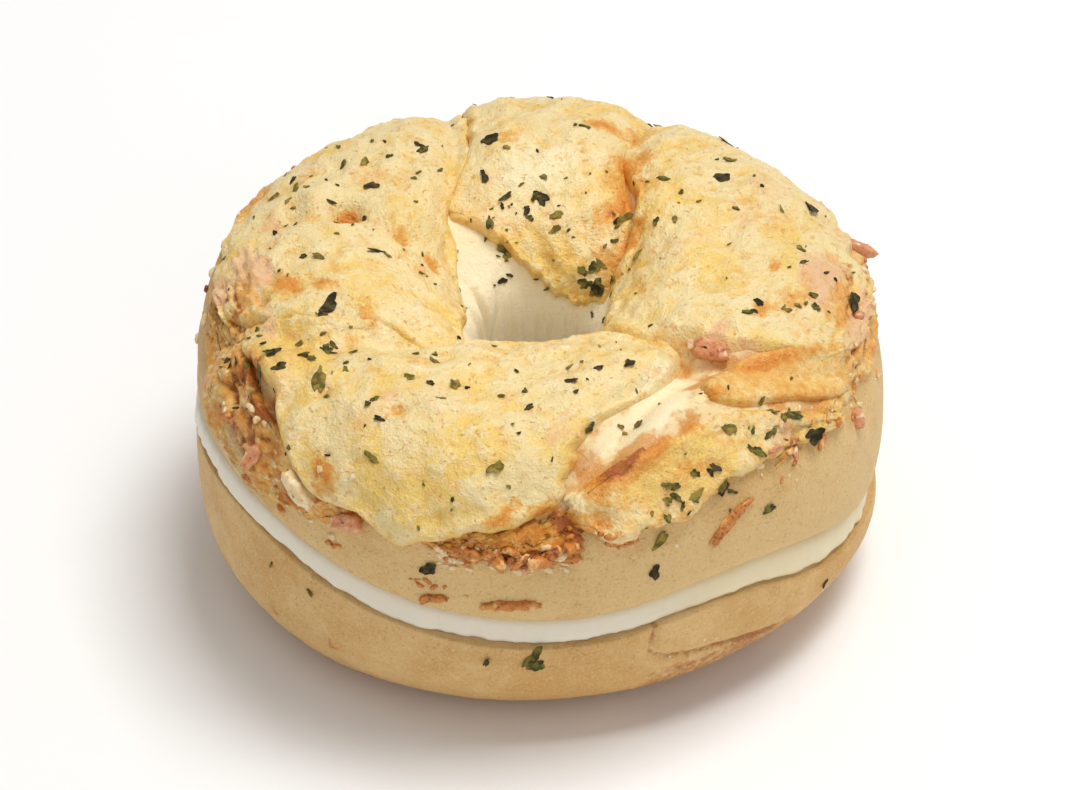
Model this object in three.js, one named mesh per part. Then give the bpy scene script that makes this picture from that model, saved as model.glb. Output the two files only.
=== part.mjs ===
// A cheese-topped ring bagel, cut across and filled, standing on its flat underside.
// Millimetres, +Z up, front towards -Y, centred on the hole's axis.
import * as THREE from 'three';
import { ParametricGeometry } from 'three/addons/geometries/ParametricGeometry.js';
import { mergeVertices } from 'three/addons/utils/BufferGeometryUtils.js';

// ---- driving dimensions -------------------------------------------------------------
const size = {
  outerRadius: 55,     // widest, just above the cut
  rimRadius: 54.3,     // both halves at the cut
  crestRadius: 31,     // top of the crown
  holeRadius: 9.8,
  crownBack: 55.8,     // crown height at the back
  crownFront: 52.4,    // and at the front
  throatHeight: 34,    // where the hole turns upright
  heelRadius: 54.5,
  heelFlatOuter: 34,   // flat ring the bagel rests on
  heelFlatInner: 20,
  heelHoleHeight: 9,   // where the underside turns up into the hole
  heelSideHeight: 16,  // where the heel is widest
};
const cut = { height: 22.0, slope: -0.085, cream: 5.5, gap: 0.3 };
// Directions (degrees) where the cut rides up and the cream swells, in millimetres at the rim.
const rides = [
  { at: 208, wide: 28, lift: 6, swell: 0 },
  { at: 305, wide: 22, lift: 6, swell: 0 },
  { at: 322, wide: 15, lift: 0, swell: 1 },
];
const drawnIn = { at: 200, wide: 30, rim: 0.8, side: 1.8 }; // the crown stands back from the heel here
const cheese = { lift: 0.55, thick: 1.7, edge: 0.7 };
const shift = new THREE.Vector3(-0.15, 0.42, 0); // puts the whole bagel's box over the origin

const TURN = Math.PI * 2;
const deg = THREE.MathUtils.degToRad;
const { lerp, clamp } = THREE.MathUtils;

// Creases (negative) and rolls (positive) of the twisted crown, as lines on the plan.
const folds = [
  { depth: -2.3, width: 4.2, line: [[-16, 52], [-13, 34], [-13, 20], [-13, 10], [-11, 3]] },
  { depth: -1.9, width: 4.0, line: [[20, 50], [16, 32], [14, 20], [13, 12], [10, 5]] },
  { depth: -1.9, width: 3.6, line: [[16, -17], [23, -23], [31, -26], [40, -25], [51, -17]] },
  { depth: -2.0, width: 3.4, line: [[2, -54], [6, -49], [11, -43], [17, -35], [23, -27], [22, -21]] },
  {
    depth: -1.9, width: 3.8,
    line: [[-51, -11], [-40, -18], [-32, -22], [-24, -21], [-15, -19], [-9, -13]],
  },
  { depth: 1.1, width: 2.6, line: [[8, -53], [14, -45], [19, -39], [26, -32]] },
];

// ---- shapes of the bread ------------------------------------------------------------
function distanceToLine(x, y, line) {
  let best = Infinity;
  for (let i = 0; i + 1 < line.length; i++) {
    const [ax, ay] = line[i];
    const [bx, by] = line[i + 1];
    const along = ((x - ax) * (bx - ax) + (y - ay) * (by - ay)) / ((bx - ax) ** 2 + (by - ay) ** 2);
    const s = clamp(along, 0, 1);
    best = Math.min(best, Math.hypot(x - lerp(ax, bx, s), y - lerp(ay, by, s)));
  }
  return best;
}

function foldRelief(x, y) {
  let sum = 0;
  for (const fold of folds) {
    const away = distanceToLine(x, y, fold.line) / fold.width;
    sum += fold.depth * Math.exp(-(away ** 2));
  }
  return sum;
}

const cutHeight = (x) => cut.height + cut.slope * x;
const power = (value, n) => Math.pow(Math.max(value, 0), 2 / n);

// Soft bump about one direction: 1 there, fading to nothing on both sides.
function bump(turn, at, wide) {
  const away = turn - deg(at);
  return Math.exp(-((Math.atan2(Math.sin(away), Math.cos(away)) / deg(wide)) ** 2));
}

// Sum of one kind of ride (`lift` or `swell`), growing evenly from the hole to the rim.
function ride(kind, turn, r) {
  const outward = clamp((r - size.holeRadius) / (size.rimRadius - size.holeRadius), 0, 1);
  return outward * rides.reduce((sum, one) => sum + one[kind] * bump(turn, one.at, one.wide), 0);
}

// Baked outline of the plan: a little out of round, as a hand-shaped ring is.
const outOfRound = (turn) => 1 + 0.008 * Math.cos(2 * turn - 0.6) + 0.006 * Math.cos(3 * turn + 1.1);

// Radius and height of the crown's skin: t = 0 at the outer rim, 0.55 at the crest, 1 in the hole.
function crownProfile(t, top) {
  const rimZ = cut.height + cut.cream / 2;
  const sideZ = rimZ + 6;
  const { rimRadius, outerRadius, crestRadius, holeRadius, throatHeight } = size;
  if (t < 0.12) {
    const s = t / 0.12;
    return [rimRadius + (outerRadius - rimRadius) * (1 - (1 - s) ** 2), lerp(rimZ, sideZ, s)];
  }
  if (t < 0.55) {
    const a = ((t - 0.12) / 0.43) * Math.PI / 2;
    return [crestRadius + (outerRadius - crestRadius) * power(Math.cos(a), 2.7),
      sideZ + (top - sideZ) * power(Math.sin(a), 2.7)];
  }
  if (t < 0.88) {
    const a = ((t - 0.55) / 0.33) * Math.PI / 2;
    return [crestRadius - (crestRadius - holeRadius) * power(Math.sin(a), 2.1),
      throatHeight + (top - throatHeight) * power(Math.cos(a), 2.1)];
  }
  return [holeRadius, lerp(throatHeight, rimZ, (t - 0.88) / 0.12)];
}

function crownBase(turn, t) {
  const top = lerp(size.crownFront, size.crownBack, (1 + Math.sin(turn)) / 2);
  const [wide, z] = crownProfile(t, top);
  const { crestRadius, outerRadius } = size;
  const rimZ = cut.height + cut.cream / 2;
  const outer = clamp((wide - crestRadius) / (outerRadius - crestRadius), 0, 1);
  const inward = lerp(drawnIn.rim, drawnIn.side, clamp((z - rimZ) / 6, 0, 1));
  const r = wide - inward * bump(turn, drawnIn.at, drawnIn.wide) * outer ** 2;
  const round = lerp(1, outOfRound(turn), clamp((r - 20) / 30, 0, 1));
  const x = r * round * Math.cos(turn);
  const y = r * round * Math.sin(turn);
  const low = clamp((top - z) / (top - rimZ), 0, 1);
  const up = ride('lift', turn, wide) + ride('swell', turn, wide);
  return new THREE.Vector3(x, y, z + cut.slope * x * low + up * low ** 3);
}

function crownNormal(turn, t) {
  const e = 0.004;
  const across = crownBase(turn + e, t).sub(crownBase(turn - e, t));
  const along = crownBase(turn, Math.min(t + e, 1)).sub(crownBase(turn, Math.max(t - e, 0)));
  return across.cross(along).normalize();
}

// Point of the crown's skin, folds included, raised by `lift` along its normal.
function crownPoint(turn, t, lift = 0) {
  const p = crownBase(turn, t);
  const fade = clamp((t - 0.1) / 0.15, 0, 1) * clamp((0.86 - t) / 0.1, 0, 1);
  return p.clone().addScaledVector(crownNormal(turn, t), foldRelief(p.x, p.y) * fade + lift);
}

// Radius and height of the heel's skin: from the hole's rim, round the underside, to the outer rim.
// A smaller squareness rounds the lower edge more.
function heelProfile(t, squareness) {
  const rimZ = cut.height - cut.cream / 2;
  const { holeRadius, rimRadius, heelRadius, heelHoleHeight, heelSideHeight } = size;
  const { heelFlatInner, heelFlatOuter } = size;
  if (t < 0.1) return [holeRadius, lerp(rimZ, heelHoleHeight, t / 0.1)];
  if (t < 0.3) {
    const a = ((t - 0.1) / 0.2) * Math.PI / 2;
    return [lerp(holeRadius, heelFlatInner, 1 - power(Math.cos(a), 2)),
      heelHoleHeight * (1 - power(Math.sin(a), 2))];
  }
  if (t < 0.45) return [lerp(heelFlatInner, heelFlatOuter, (t - 0.3) / 0.15), 0];
  if (t < 0.85) {
    const a = ((t - 0.45) / 0.4) * Math.PI / 2;
    return [heelFlatOuter + (heelRadius - heelFlatOuter) * power(Math.sin(a), squareness),
      heelSideHeight * (1 - power(Math.cos(a), squareness))];
  }
  const s = (t - 0.85) / 0.15;
  return [heelRadius - (heelRadius - rimRadius) * s * s, lerp(heelSideHeight, rimZ, s)];
}

function heelPoint(turn, t) {
  const [r, z] = heelProfile(t, 2.3 - 0.25 * (1 + Math.cos(turn + deg(20))));
  const round = lerp(1, outOfRound(turn), clamp((r - 20) / 30, 0, 1));
  const x = r * round * Math.cos(turn);
  const y = r * round * Math.sin(turn);
  const rimZ = cut.height - cut.cream / 2;
  const high = clamp((z - 4) / (rimZ - 4), 0, 1);
  const up = ride('lift', turn, r) - ride('swell', turn, r);
  return new THREE.Vector3(x, y, z + cut.slope * x * high + up * high ** 2);
}

// A geometry's bare points and faces, with points in the same place made one.
const welded = (geometry) => mergeVertices(geometry.deleteAttribute('uv').deleteAttribute('normal'));

// Closed ring from a skin that starts and ends on the cut, with the cut face across its ends.
function ring(skin, start, end, turns, skinSteps, faceSteps) {
  const steps = skinSteps + faceSteps;
  const surface = (u, v, target) => {
    const turn = (u % 1) * TURN;
    const k = Math.round(v * steps) % steps;
    if (k <= skinSteps) return target.copy(skin(turn, lerp(start, end, k / skinSteps)));
    return target.lerpVectors(skin(turn, end), skin(turn, start), (k - skinSteps) / faceSteps);
  };
  return welded(new ParametricGeometry(surface, turns, steps));
}

// The cream's cross-section: a flat band with a soft, slightly wavy outer edge.
function creamPoint(turn, k, steps) {
  const inner = 13;
  const wave = 0.35 * Math.sin(9 * turn + 0.4) + 0.25 * Math.sin(17 * turn + 2);
  const outer = (size.rimRadius - 0.6 + wave) * outOfRound(turn);
  const a = (k / steps) * TURN;
  const side = Math.sign(Math.cos(a)) * Math.pow(Math.abs(Math.cos(a)), 0.25);
  const r = lerp(inner, outer, (1 + side) / 2);
  const x = r * Math.cos(turn);
  const half = cut.cream / 2 - cut.gap + ride('swell', turn, r);
  const rise = half * Math.sign(Math.sin(a)) * Math.pow(Math.abs(Math.sin(a)), 0.55);
  return new THREE.Vector3(x, r * Math.sin(turn), cutHeight(x) + ride('lift', turn, r) + rise);
}

// ---- toppings -----------------------------------------------------------------------
function along(stops, at) {
  if (at <= stops[0][0]) return stops[0][1];
  for (let i = 0; i + 1 < stops.length; i++) {
    const [a, va] = stops[i];
    const [b, vb] = stops[i + 1];
    if (at <= b) return lerp(va, vb, (at - a) / (b - a));
  }
  return stops[stops.length - 1][1];
}

// A melted patch: `left` and `right` give its sides (degrees at each t),
// `low` and `high` its outer and inner edges (t at each fraction across).
function meltedPatch(patch, across, up) {
  const slab = welded(new THREE.BoxGeometry(1, 1, 1, across, up, 1));
  const points = slab.attributes.position;
  for (let i = 0; i < points.count; i++) {
    const u = points.getX(i) + 0.5;
    const v = points.getY(i) + 0.5;
    const t = lerp(along(patch.low, u), along(patch.high, u), v);
    const turn = deg(lerp(along(patch.left, t), along(patch.right, t), u));
    const inset = Math.min(1, 6 * Math.min(u, 1 - u)) * Math.min(1, 6 * Math.min(v, 1 - v));
    const top = cheese.lift + lerp(cheese.edge, cheese.thick, Math.sqrt(inset));
    const p = crownPoint(turn, t, points.getZ(i) > 0 ? top : cheese.lift);
    points.setXYZ(i, p.x, p.y, p.z);
  }
  return slab;
}

// Sets a small solid on the crown at (turn, t): its own z axis along the skin's normal.
function setOnCrown(geometry, turnDegrees, t, spin, lift) {
  const turn = deg(turnDegrees);
  const normal = crownNormal(turn, t);
  const across = new THREE.Vector3(-Math.sin(turn), Math.cos(turn), 0);
  const up = normal.clone().cross(across).normalize();
  const frame = new THREE.Matrix4().makeBasis(up.clone().cross(normal).normalize(), up, normal);
  frame.multiply(new THREE.Matrix4().makeRotationZ(deg(spin)));
  frame.setPosition(crownPoint(turn, t, lift));
  return geometry.applyMatrix4(frame);
}

// A lump of ham, cheese or crumb: a rounded blob pressed to length, width and height.
function lump(length, width, height, seed) {
  const ball = welded(new THREE.IcosahedronGeometry(1, 2));
  const points = ball.attributes.position;
  for (let i = 0; i < points.count; i++) {
    const [x, y, z] = [points.getX(i), points.getY(i), points.getZ(i)];
    const broad = 0.1 * Math.sin(3 * x + seed) * Math.cos(2.6 * y + 1.7 * seed);
    const swell = 1 + broad + 0.05 * Math.sin(5 * z + seed);
    points.setXYZ(i, x * swell * length / 2, y * swell * width / 2, z * swell * height / 2);
  }
  return ball;
}

// A dried herb flake: a thin angular leaf fragment.
function flake(length, width, seed) {
  const corners = 7;
  const outline = new THREE.Shape();
  for (let i = 0; i < corners; i++) {
    const a = (i / corners) * TURN;
    const reach = 0.78 + 0.22 * Math.sin(2.3 * i + seed * 1.9);
    const [x, y] = [Math.cos(a) * reach * length / 2, Math.sin(a) * reach * width / 2];
    if (i === 0) outline.moveTo(x, y);
    else outline.lineTo(x, y);
  }
  outline.closePath();
  return welded(new THREE.ExtrudeGeometry(outline, { depth: 0.3, bevelEnabled: false }));
}

// ---- the pieces ---------------------------------------------------------------------
const finishes = {
  heelCrust: { color: '#c49c64', roughness: 0.7 },
  crownCrust: { color: '#d2ae76', roughness: 0.65 },
  cream: { color: '#e9e0cb', roughness: 0.45 },
  meltedCheese: { color: '#eec887', roughness: 0.45 },
  ham: { color: '#d59074', roughness: 0.4 },
  toastedCheese: { color: '#b9773a', roughness: 0.5 },
  herb: { color: '#3f4220', roughness: 0.8 },
};

const bagel = new THREE.Group();
bagel.name = 'bagel';

function add(name, geometry, finish) {
  const material = new THREE.MeshStandardMaterial({ ...finishes[finish], metalness: 0 });
  material.name = finish;
  geometry.translate(shift.x, shift.y, shift.z);
  geometry.computeVertexNormals();
  const mesh = new THREE.Mesh(geometry, material);
  mesh.name = name;
  bagel.add(mesh);
}

add('bottom_half', ring(heelPoint, 0, 1, 64, 17, 2), 'heelCrust');
add('top_half', ring(crownPoint, 0, 1, 90, 27, 2), 'crownCrust');

const creamSteps = 12;
const creamSurface = (u, v, target) =>
  target.copy(creamPoint((u % 1) * TURN, Math.round(v * creamSteps) % creamSteps, creamSteps));
add('cream_filling', welded(new ParametricGeometry(creamSurface, 64, creamSteps)), 'cream');

const patches = {
  cheese_front: {
    left: [[0.3, 201], [0.48, 216], [0.56, 226], [0.62, 240], [0.7, 250]],
    right: [[0.22, 272], [0.34, 275], [0.42, 282], [0.49, 293], [0.55, 306], [0.66, 312]],
    low: [[0, 0.34], [0.25, 0.29], [0.4, 0.21], [0.65, 0.17], [0.8, 0.2], [1, 0.23]],
    high: [[0, 0.6], [0.35, 0.66], [0.8, 0.68], [1, 0.66]],
    across: 18, up: 12,
  },
  cheese_front_right: {
    left: [[0.22, 281], [0.34, 287], [0.38, 292]],
    right: [[0.19, 336], [0.28, 334]],
    low: [[0, 0.23], [0.2, 0.21], [0.45, 0.25], [0.7, 0.24], [1, 0.19]],
    high: [[0, 0.36], [0.4, 0.37], [0.7, 0.3], [1, 0.25]],
    across: 14, up: 7,
  },
  cheese_small: {
    left: [[0.36, 307], [0.48, 311]],
    right: [[0.28, 337], [0.38, 333]],
    low: [[0, 0.405], [0.4, 0.37], [1, 0.285]],
    high: [[0, 0.48], [0.5, 0.445], [1, 0.37]],
    across: 8, up: 5,
  },
  cheese_right: {
    left: [[0.24, -15], [0.38, -22], [0.45, -31], [0.53, -38], [0.6, -40], [0.7, -30]],
    right: [[0.3, 61], [0.53, 60], [0.6, 53], [0.67, 43], [0.75, 30]],
    low: [[0, 0.28], [0.2, 0.25], [0.5, 0.29], [0.8, 0.27], [1, 0.31]],
    high: [[0, 0.69], [0.4, 0.73], [1, 0.76]],
    across: 20, up: 12,
  },
  cheese_back: {
    left: [[0.3, 67], [0.53, 66], [0.6, 60], [0.67, 51], [0.74, 40], [0.8, 33]],
    right: [[0.3, 105], [0.53, 108], [0.61, 118], [0.67, 128], [0.8, 124]],
    low: [[0, 0.3], [0.5, 0.26], [1, 0.3]],
    high: [[0, 0.8], [0.4, 0.79], [0.7, 0.75], [1, 0.68]],
    across: 12, up: 14,
  },
  cheese_rear_left: {
    left: [[0.3, 111], [0.53, 114], [0.61, 125], [0.67, 140], [0.74, 156]],
    right: [[0.3, 193], [0.43, 206], [0.5, 216], [0.57, 228], [0.65, 240]],
    low: [[0, 0.3], [0.3, 0.26], [0.7, 0.3], [1, 0.33]],
    high: [[0, 0.71], [0.5, 0.73], [1, 0.66]],
    across: 18, up: 12,
  },
};
for (const [name, patch] of Object.entries(patches)) {
  add(name, meltedPatch(patch, patch.across, patch.up), 'meltedCheese');
}

// name: turn in degrees, t, spin, length, width, height, seed, how far above the skin
const hams = {
  ham_right_of_hole: [318, 0.505, 20, 3.4, 2.4, 1.2, 1, 1.3],
  ham_front_right: [339, 0.2, 70, 4, 2.6, 1.6, 2, 1.6],
  ham_front_left: [239, 0.135, 10, 6, 3.4, 2.4, 3, 1.7],
  ham_left: [219, 0.19, 60, 5, 3, 2, 4, 1.4],
  ham_right_edge: [12, 0.225, 80, 5, 3, 1.8, 5, 1.35],
};
for (const [name, [turn, t, spin, l, w, h, seed, lift]] of Object.entries(hams)) {
  add(name, setOnCrown(lump(l, w, h, seed), turn, t, spin, lift), 'ham');
}

const crumbs = {
  toasted_shred_front: [266, 0.1, 4, 8, 1.8, 1.1, 1, 0.95],
  toasted_shred_front_left: [253, 0.08, 10, 4, 1.4, 1, 2, 0.9],
  toasted_shred_right: [302, 0.165, -38, 8.5, 1.5, 1, 3, 0.9],
  toasted_crumb_front: [271, 0.155, 0, 4.5, 2.4, 1.6, 4, 1.2],
  toasted_crumb_left: [258, 0.135, 0, 4.5, 2, 1.5, 5, 1.2],
  pale_shred_left: [230, 0.16, -50, 7, 2, 1.6, 6, 1.2],
};
for (const [name, [turn, t, spin, l, w, h, seed, lift]] of Object.entries(crumbs)) {
  add(name, setOnCrown(lump(l, w, h, seed), turn, t, spin, lift), 'toastedCheese');
}

// On cheese a flake floats just above the patch; on bare crust just above the skin.
const onCheese = cheese.lift + cheese.thick + 0.3;
const onCrust = 0.45;
const flakes = [
  [194, 0.46, 30, 4.2, 2.4, onCheese], [184, 0.53, 100, 3.2, 2.2, onCheese],
  [222, 0.41, 80, 4.4, 2.6, onCheese], [266, 0.36, 20, 3.4, 2, onCheese],
  [253, 0.52, 60, 2.4, 1.6, onCheese], [235, 0.33, 40, 2.2, 1.4, onCheese],
  [100, 0.55, 80, 3, 1.8, onCheese], [88, 0.63, 30, 3, 1.4, onCheese],
  [78, 0.7, 10, 2.6, 1.4, onCheese], [30, 0.42, 50, 3.2, 1.8, onCheese],
  [50, 0.5, 0, 3, 1.8, onCheese], [352, 0.35, 20, 4, 2.2, onCheese],
  [10, 0.5, 60, 2.2, 1.4, onCheese], [348, 0.5, 120, 2.2, 1.4, onCheese],
  [140, 0.5, 90, 2.6, 1.2, onCheese], [150, 0.42, 10, 2.4, 1.4, onCheese],
  [290, 0.13, 60, 2.8, 1.8, onCrust], [289, 0.17, 20, 3, 1.6, onCrust],
  [252, 0.12, 70, 2.6, 1.5, onCrust], [310, 0.18, 45, 2.4, 1.4, onCrust],
  [323, 0.16, 20, 2.6, 1.8, onCrust],
];
flakes.forEach(([turn, t, spin, length, width, lift], i) => {
  const name = `herb_flake_${String(i + 1).padStart(2, '0')}`;
  add(name, setOnCrown(flake(length, width, i + 1), turn, t, spin, lift), 'herb');
});

export default bagel;
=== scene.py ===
"""A cheese, ham and herb bagel, cut across and filled with cream: its looks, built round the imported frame."""

import logging
import math
from dataclasses import dataclass
from enum import Enum
from typing import Any, Callable, Sequence

import bpy
import numpy as np
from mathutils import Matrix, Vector

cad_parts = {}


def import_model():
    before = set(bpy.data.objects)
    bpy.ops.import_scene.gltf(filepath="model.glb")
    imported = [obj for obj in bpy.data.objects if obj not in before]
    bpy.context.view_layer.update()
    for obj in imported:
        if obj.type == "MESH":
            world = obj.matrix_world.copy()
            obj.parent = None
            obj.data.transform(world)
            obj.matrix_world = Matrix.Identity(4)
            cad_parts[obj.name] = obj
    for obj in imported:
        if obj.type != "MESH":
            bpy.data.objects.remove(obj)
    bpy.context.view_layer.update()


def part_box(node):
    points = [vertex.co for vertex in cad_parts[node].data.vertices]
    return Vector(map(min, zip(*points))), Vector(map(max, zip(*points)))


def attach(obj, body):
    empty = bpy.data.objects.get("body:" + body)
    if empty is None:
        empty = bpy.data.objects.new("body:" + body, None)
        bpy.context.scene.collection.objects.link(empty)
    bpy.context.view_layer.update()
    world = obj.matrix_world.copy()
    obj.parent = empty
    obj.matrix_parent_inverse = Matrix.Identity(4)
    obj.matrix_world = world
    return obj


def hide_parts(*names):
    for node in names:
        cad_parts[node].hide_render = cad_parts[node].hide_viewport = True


LOG = logging.getLogger("bagel")
PER_METRE = 1000.0  # millimetres in a metre
Stops = Sequence[tuple[float, float]]
Colour = tuple[float, float, float, float]
Surface = Callable[[np.ndarray, np.ndarray], np.ndarray]


# ---- numbers over a surface -----------------------------------------------------------
def mix(low: Any, high: Any, share: Any) -> Any:
    """Goes from low to high as share goes from 0 to 1."""
    return low + (high - low) * share


def ease(value: Any, start: float, end: float) -> Any:
    """Smooth step from 0 at start to 1 at end."""
    share = np.clip((value - start) / (end - start), 0.0, 1.0)
    return share * share * (3.0 - 2.0 * share)


def power(value: np.ndarray, squareness: float) -> np.ndarray:
    """The cosine or sine of a squarish round, as a superellipse has it."""
    return np.maximum(value, 0.0) ** (2.0 / squareness)


def full_turn(count: int) -> np.ndarray:
    """Evenly spaced turns once round, in radians."""
    return np.linspace(0, 2 * math.pi, count, endpoint=False)


def bump(turn: np.ndarray, at: float, wide: float) -> np.ndarray:
    """Soft bump about one direction in degrees: 1 there, fading to nothing on both sides."""
    away = np.angle(np.exp(1j * (turn - math.radians(at))))
    return np.exp(-((away / math.radians(wide)) ** 2))


def flow(stops: Stops, at: np.ndarray) -> np.ndarray:
    """Reads a curve through its stops.

    Args:
        stops: pairs of place and value, places rising.
        at: places to read.

    Returns:
        The values there, on a smooth curve that never swings past its stops by much.
    """
    places = np.array([stop[0] for stop in stops])
    values = np.array([stop[1] for stop in stops])
    slopes = np.gradient(values, places)
    steps = np.diff(values) / np.diff(places)
    for i, step in enumerate(steps):
        for k in (i, i + 1):
            if step == 0.0 or slopes[k] * step < 0.0:
                slopes[k] = 0.0
            else:
                slopes[k] = math.copysign(min(abs(slopes[k]), 3.0 * abs(step)), step)
    at = np.clip(at, places[0], places[-1])
    i = np.clip(np.searchsorted(places, at, side="right") - 1, 0, len(places) - 2)
    gap = places[i + 1] - places[i]
    s = (at - places[i]) / gap
    return (
        (1 + 2 * s) * (1 - s) ** 2 * values[i]
        + s * (1 - s) ** 2 * gap * slopes[i]
        + s * s * (3 - 2 * s) * values[i + 1]
        + s * s * (s - 1) * gap * slopes[i + 1]
    )


def stray(x: np.ndarray, y: np.ndarray, line: Stops) -> np.ndarray:
    """Measures how far places are from a line.

    Args:
        x: first measure of each place.
        y: second measure of each place.
        line: the points that the line runs through.

    Returns:
        The distance to the nearest point of the line.
    """
    best = np.full(x.shape, np.inf)
    for (ax, ay), (bx, by) in zip(line, line[1:]):
        span = (bx - ax) ** 2 + (by - ay) ** 2
        along = np.clip(((x - ax) * (bx - ax) + (y - ay) * (by - ay)) / span, 0.0, 1.0)
        best = np.minimum(best, np.hypot(x - mix(ax, bx, along), y - mix(ay, by, along)))
    return best


def facing(surface: Surface, turn: np.ndarray, t: np.ndarray, step: float = 0.004) -> np.ndarray:
    """Finds which way a surface faces.

    Args:
        surface: gives the place of a turn and t.
        turn: in radians.
        t: along the section.
        step: how far off the neighbours are that it is worked out from.

    Returns:
        The outward direction at each turn and t.
    """
    across = surface(turn + step, t) - surface(turn - step, t)
    along = surface(turn, np.minimum(t + step, 1.0)) - surface(turn, np.maximum(t - step, 0.0))
    way = np.cross(across, along)
    return way / np.maximum(np.linalg.norm(way, axis=-1, keepdims=True), 1e-9)


class Grain:
    """Seeded smooth noise in space, about -1 to 1."""

    cells = 256
    loudness = 1.7  # brings the noise up to about -1 to 1
    layer_shift = 17.3  # keeps the layers from lining up

    def __init__(self, seed: int) -> None:
        """Shuffles the lattice.

        Args:
            seed: which shuffle.
        """
        rng = np.random.default_rng(seed)
        order = rng.permutation(self.cells)
        self.order = np.concatenate([order, order])
        slopes = rng.normal(size=(self.cells, 3))
        self.slopes = slopes / np.linalg.norm(slopes, axis=1, keepdims=True)

    def _layer(self, points: np.ndarray) -> np.ndarray:
        """Works out one layer of noise.

        Args:
            points: places, in lattice steps.

        Returns:
            The noise at each place.
        """
        cell = np.floor(points).astype(int)
        part = points - cell
        blend = part**3 * (part * (part * 6.0 - 15.0) + 10.0)
        total = np.zeros(points.shape[:-1])
        for corner in np.ndindex(2, 2, 2):
            x, y, z = ((cell[..., k] + corner[k]) % self.cells for k in range(3))
            slope = self.slopes[self.order[self.order[self.order[x] + y] + z]]
            weight = np.ones(points.shape[:-1])
            for k in range(3):
                weight = weight * (blend[..., k] if corner[k] else 1.0 - blend[..., k])
            total += weight * ((part - np.array(corner)) * slope).sum(-1)
        return total * self.loudness

    def __call__(self, points: np.ndarray, pitch: float, layers: int = 1, keep: float = 0.5) -> np.ndarray:
        """Noise at points.

        Args:
            points: places in millimetres, last axis three long.
            pitch: size of the largest lumps in millimetres.
            layers: how many layers, each half the size of the last.
            keep: strength of each layer against the one before.

        Returns:
            The noise, one value a point.
        """
        total = np.zeros(points.shape[:-1])
        for k in range(layers):
            total += keep**k * self._layer(points * (2.0**k / pitch) + self.layer_shift * k)
        return total


# ---- the bread's form -----------------------------------------------------------------
@dataclass(frozen=True)
class Fold:
    """A crease or roll of the twisted crown: a line on the plan, in millimetres."""

    depth: float
    width: float
    line: tuple[tuple[float, float], ...]

    def relief(self, x: np.ndarray, y: np.ndarray) -> np.ndarray:
        """Height of this fold at plan places x, y."""
        return self.depth * np.exp(-((stray(x, y, self.line) / self.width) ** 2))


class Mark(Enum):
    """What a spot on the crown does to it."""

    TOAST = "toast"
    BROWN = "brown"
    PALE = "pale"
    PINK = "pink"
    YELLOW = "yellow"
    CRUMBLY = "crumbly"
    SWELL = "swell"
    HEAP = "heap"


@dataclass(frozen=True)
class Spot:
    """A spot on the crown: where, how large in millimetres, which way and how strong."""

    mark: Mark
    turn: float
    t: float
    length: float
    width: float
    heading: float = 0.0
    strength: float = 1.0


CREASES = (
    Fold(-2.3, 4.2, ((-16, 52), (-13, 34), (-13, 20), (-13, 10), (-11, 3))),
    Fold(-1.9, 4.0, ((20, 50), (16, 32), (14, 20), (13, 12), (10, 5))),
    Fold(-1.9, 3.6, ((16, -17), (23, -23), (31, -26), (40, -25), (51, -17))),
    Fold(-2.0, 3.4, ((2, -54), (6, -49), (11, -43), (17, -35), (23, -27), (22, -21))),
    Fold(-1.9, 3.8, ((-51, -11), (-40, -18), (-32, -22), (-24, -21), (-15, -19), (-9, -13))),
    Fold(1.1, 2.6, ((8, -53), (14, -45), (19, -39), (26, -32))),
    Fold(-1.0, 2.4, ((-52, 4), (-46, 8), (-37, 10), (-29, 10), (-22, 6), (-15, 4))),
)


@dataclass(frozen=True)
class Ride:
    """A direction, in degrees, where the cut rides up or the cream swells, in millimetres at the rim."""

    at: float
    wide: float
    lift: float
    swell: float


CROWN_WIDTH = 109.715  # what the crown measures from left to right, in the design's millimetres


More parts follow.
